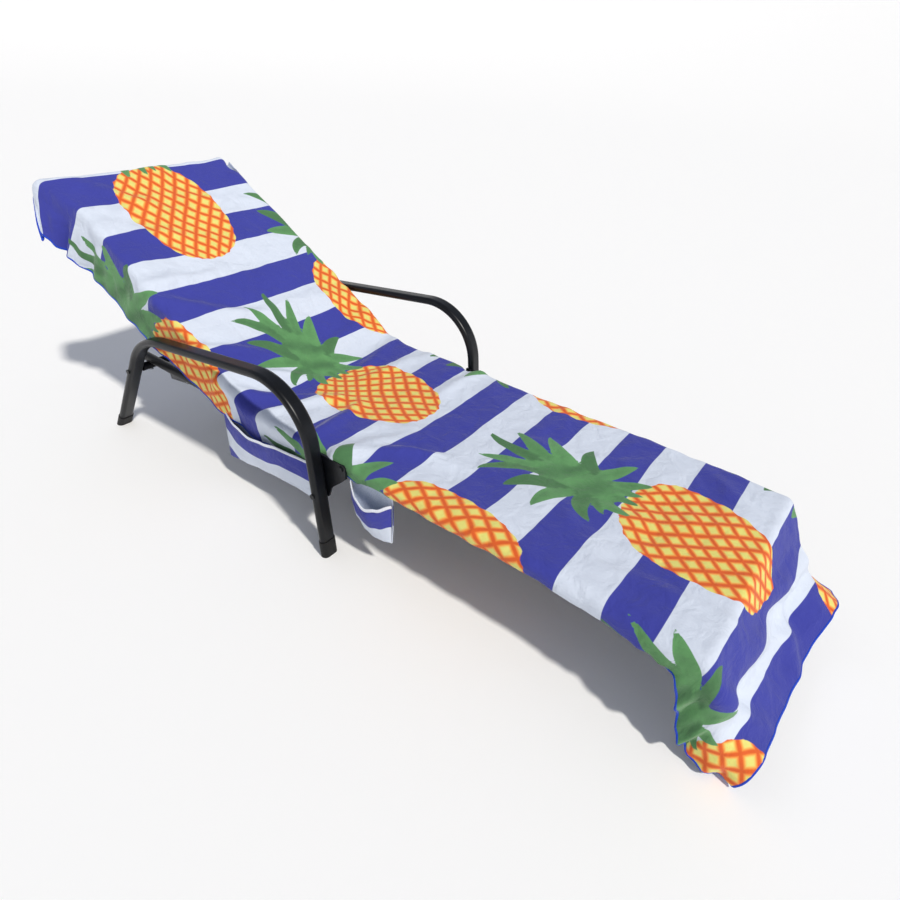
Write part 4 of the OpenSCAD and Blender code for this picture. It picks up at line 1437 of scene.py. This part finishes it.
@dataclass
class SidePocket:
    """An open pocket that hangs beside the seat: one sheet, folded up at its bottom, taped at its mouth."""

    place: Place
    node: str
    side: Side
    cut: PocketCut
    thickness: float = 0.0018
    tape_height: float = 0.0085
    tape_width: float = 0.0034
    mouth_drop: float = 0.0495  # from the seat's top to the mouth's line
    set_in: float = 0.003  # how far it hangs inside the middle of its box
    pinch: float = 0.25  # share of the room between its panels that is left at its sewn ends
    slack: float = 0.002
    wave_height: float = 0.0022
    wave_size: float = 0.05
    stripe: float = 0.0585
    columns: int = 46
    panel_rows: int = 22
    fold_rows: int = 8

    def _outline(self) -> tuple[Array, Array, Array]:
        """Grid of the pocket's sheet, from the inner panel's top down, round the fold and up to the mouth.

        The panels part by gape * sin(pi t)^0.7 at the mouth, so that their ends are pinched where they
        are sewn. The mouth dips by the swag's table, and the fold lies above the box's bottom by the hem's.

        Returns:
            Points, stripe numbers and UVs, with a row for each step down and up.
        """
        low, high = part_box(self.node)
        cut = self.cut
        t = np.linspace(0, 1, self.columns)
        start, end = low.x + cut.ends[0], high.x + cut.ends[1]
        x = start + (end - start) * t
        outer = max(abs(low.y), abs(high.y))
        inner = min(abs(low.y), abs(high.y)) + self.thickness
        full = np.sin(math.pi * t) ** 0.7
        dip, rise = (
            soft_table(t, list(zip(np.linspace(0, 1, len(values)), values))) for values in (cut.swag, cut.hem)
        )
        mouth = self.place.seat_top - self.mouth_drop - dip
        bottom = low.z + rise
        step = np.linspace(0, 1, self.panel_rows)[:, None]
        radius = (outer - inner) / 2 * (self.pinch + (1 - self.pinch) * full)
        middle = (outer + inner) / 2 - self.set_in
        bow = self.slack * np.sin(step * math.pi)
        inside_y = middle - radius * np.minimum(1, 0.75 + 0.5 * (1 - step)) - bow
        inside_z = high.z + (bottom + radius - high.z) * step
        a = np.linspace(0, math.pi, self.fold_rows + 2)[1:-1, None]
        fold_y = middle - radius * np.cos(a)
        fold_z = bottom + radius - radius * np.sin(a)
        swell = cut.bulge * np.sin(np.clip(step * 1.15, 0, 1) * math.pi) * full
        seed, height = 31 + len(self.node), 0.13
        wave = self.wave_height * cloud(x[None, :] + 0 * step, step * height, self.wave_size, seed) * full
        outside_y = middle + radius + swell + cut.gape * full * step**2.2 + wave
        outside_z = bottom + radius + (mouth - bottom - radius) * step
        y = np.concatenate([inside_y, fold_y, outside_y])
        z = np.concatenate([inside_z, fold_z, outside_z])
        points = np.stack([np.broadcast_to(x, y.shape), self.side.value * y, z], -1)
        number = (mouth[None, :] - z) / self.stripe
        number[: self.panel_rows] += 2  # the inner panel is cut from two stripes further on
        drop = np.cumsum(np.hypot(np.diff(y, axis=0), np.diff(z, axis=0)), 0)
        run = np.concatenate([np.zeros((1, self.columns)), drop])
        margin = 0.1  # keeps the map's numbers above 0
        uv = np.stack([np.broadcast_to(x - low.x + margin, y.shape), run + margin], -1) / UV_METRES
        return points, number, uv

    def build(self) -> list[Object]:
        """Builds the pocket and the tape on its mouth.

        Returns:
            The two pieces.
        """
        points, number, uv = self._outline()
        rows, cols = points.shape[:2]
        quads = grid_quads(rows, cols)
        if self.side is Side.RIGHT:
            quads = quads[:, ::-1]
        name = self.node.replace("pocket", "pocket_cloth")
        cloth = make_piece(
            name,
            points.reshape(-1, 3),
            quads,
            [PRINT.material(), REVERSE.material()],
            uv.reshape(-1, 2),
            PATTERN.plain(number.ravel()),
        )
        thicken(cloth, self.thickness, True)
        mouth = points[-1] + np.array([0, -self.side.value * self.thickness / 2, -0.001])
        outline = oval_outline(self.tape_width, self.tape_height, 10)
        ring, faces = sweep(mouth, np.tile([0.0, 0, 1.0], (cols, 1)), outline, False)
        tape = make_piece(self.node.replace("pocket", "pocket_tape"), ring, faces, [TAPE.material()])
        for piece, slot in ((cloth, "towel_print"), (tape, "towel_binding")):
            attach(piece, "seat_frame")
        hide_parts(self.node)
        return [cloth, tape]


# ---- the frame's finishes ----


@dataclass
class FrameFinishes:
    """Finishes of the CAD nodes that stay, by the start of their names."""

    tube: Coating = Coating("satin_black_powder_coat", "0C0D10", "131519", 0.42, specular=0.3)
    arm: Coating = Coating("semi_gloss_black_powder_coat", "080A0E", "10131A", 0.34, specular=0.32)
    bolt: Coating = Coating("black_oxide_steel", "17181A", "26282B", 0.38, metallic=0.6)
    zinc: Coating = Coating("bright_zinc_plate", "B4B8BD", "8E9298", 0.32, metallic=1.0)
    rack: Coating = Coating("dark_grey_powder_coat", "33363B", "3F4247", 0.42)
    plastic: Coating = Coating(
        "moulded_black_polypropylene",
        "0D0D0E",
        "161617",
        0.55,
        grain=0.9 * MILLIMETRE,
        relief=0.12 * MILLIMETRE,
        specular=0.3,
    )
    nylon: Coating = Coating("natural_nylon", "DCDACF", "C9C6B8", 0.42)
    sling: SlingMesh = SlingMesh()

    def dress(self) -> int:
        """Gives every shown CAD node its finish.

        Returns:
            The number of nodes dressed.
        """
        starts: list[tuple[tuple[str, ...], Finish]] = [
            (("arm_frame", "arm_bracket"), self.arm),
            (("bracket_bolts", "arm_bolts", "rear_leg_bolts"), self.bolt),
            (("rail_connectors", "back_connectors", "rear_rail_bolts", "bolt_nuts"), self.zinc),
            (("hinge_bolts", "prop_pins", "prop_bar"), self.zinc),
            (("rack_",), self.rack),
            (("front_foot", "rear_foot", "foot_leg_shoe", "rail_end_plugs", "back_end_plugs"), self.plastic),
            (("hinge_washers", "hinge_bushes"), self.nylon),
            (("seat_sling", "back_sling"), self.sling),
            (("",), self.tube),
        ]
        dressed = 0
        for name, node in frame["nodes"].items():
            if node.hide_render:
                continue
            finish = next(f for heads, f in starts if name.startswith(heads))
            node.data.materials.clear()
            node.data.materials.append(finish.material())
            dressed += 1
        return dressed


# ---- floor, light and camera ----


@dataclass
class Studio:
    """A pale floor, soft light and the camera."""

    place: Place
    floor_colour: str = "FCFCFB"
    floor_radius: float = 50.0
    floor_flat: float = 9.0  # the floor rises like a dish beyond this distance, so that no horizon shows
    floor_rise: float = 0.010
    floor_drop: float = 0.8 * MILLIMETRE  # keeps the floor out of the plane of the feet
    sun_from: tuple[float, float, float] = (0.62, -0.18, 0.80)
    sun_colour: str = "FFFBF4"
    sun_strength: float = 2.6
    sun_angle: float = 3.5
    sky_colour: str = "E4ECFF"
    sky_strength: float = 0.36
    camera_from_hinge: tuple[float, float, float] = (1.2072, -1.083, 1.1156)
    yaw: float = 33.2
    pitch: float = 34.2
    roll: float = 4.85
    lens: float = 25.35
    shift: tuple[float, float] = (-0.0214, -0.0013)

    def _floor(self) -> None:
        """Makes a pale floor, a little under the feet.

        A square grid is drawn into a disc, and its height is rise * (distance - flat)^2 beyond the middle.
        """
        count = 81
        line = np.linspace(-1, 1, count)
        u, v = np.meshgrid(line, line, indexing="ij")
        x, y = u * np.sqrt(1 - v * v / 2), v * np.sqrt(1 - u * u / 2)
        radius = np.hypot(x, y)
        x, y = x * self.floor_radius * radius, y * self.floor_radius * radius
        z = self.floor_rise * np.maximum(np.hypot(x, y) - self.floor_flat, 0) ** 2 - self.floor_drop
        material = bpy.data.materials.new("pale_floor")
        material.use_nodes = True
        shader = material.node_tree.nodes["Principled BSDF"]
        values = {"Base Color": linear(self.floor_colour), "Roughness": 0.9, "Specular IOR Level": 0.1}
        feed_shader(material.node_tree, shader, {}, values)
        points = np.stack([x, y, z], -1).reshape(-1, 3)
        make_piece("floor", points, grid_quads(count, count), [material])

    def _light(self) -> None:
        """Adds a high sun, towards the foot end and a little to the right, and a weak even sky."""
        world = bpy.data.worlds.new("studio")
        world.use_nodes = True
        sky = world.node_tree.nodes["Background"]
        sky.inputs[0].default_value = linear(self.sky_colour)
        sky.inputs[1].default_value = self.sky_strength
        bpy.context.scene.world = world
        data = bpy.data.lights.new("sun", "SUN")
        data.energy, data.angle = self.sun_strength, math.radians(self.sun_angle)
        data.color = linear(self.sun_colour)[:3]
        sun = bpy.data.objects.new("sun", data)
        sun.rotation_euler = Vector(self.sun_from).to_track_quat("Z", "Y").to_euler()
        bpy.context.scene.collection.objects.link(sun)

    def _camera(self) -> None:
        """Sets the camera above the foot end's right side, turned by yaw, pitch and roll."""
        data = bpy.data.cameras.new("camera")
        data.sensor_width, data.lens = 36.0, self.lens
        data.shift_x, data.shift_y = self.shift
        yaw, pitch, roll = (math.radians(a) for a in (self.yaw, self.pitch, self.roll))
        ahead = Vector((-math.sin(yaw) * math.cos(pitch), math.cos(yaw) * math.cos(pitch), -math.sin(pitch)))
        level = Vector((math.cos(yaw), math.sin(yaw), 0))
        above = level.cross(ahead)
        right = math.cos(roll) * level + math.sin(roll) * above
        up = -math.sin(roll) * level + math.cos(roll) * above
        camera = bpy.data.objects.new("camera", data)
        at = Vector(self.camera_from_hinge) + Vector((self.place.hinge_x, 0, 0))
        camera.matrix_world = Matrix.Translation(at) @ Matrix((right, up, -ahead)).transposed().to_4x4()
        bpy.context.scene.collection.objects.link(camera)
        bpy.context.scene.camera = camera

    def build(self) -> None:
        """Sets up the floor, the light and the camera."""
        self._floor()
        self._light()
        self._camera()
        bpy.context.scene.view_settings.view_transform = "Standard"


def main() -> None:
    """Builds the lounger's looks in order, and reports each piece."""
    logging.basicConfig(level=logging.INFO, format="%(name)s: %(message)s")
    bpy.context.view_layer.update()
    place = Place.from_frame()
    pieces = TowelCover(place).build() + HeadHood(place).build()
    for side in Side:
        for kind, cut in POCKET_CUTS.items():
            pieces += SidePocket(place, f"{kind}_{side.name.lower()}", side, cut).build()
    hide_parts("pocket_bindings")
    for piece in pieces:
        log.info("%s: %d faces", piece.name, len(piece.data.polygons))
    log.info("%d CAD nodes dressed", FrameFinishes().dress())
    Studio(place).build()
    bpy.context.view_layer.update()


if __name__ == "__main__":
    main()
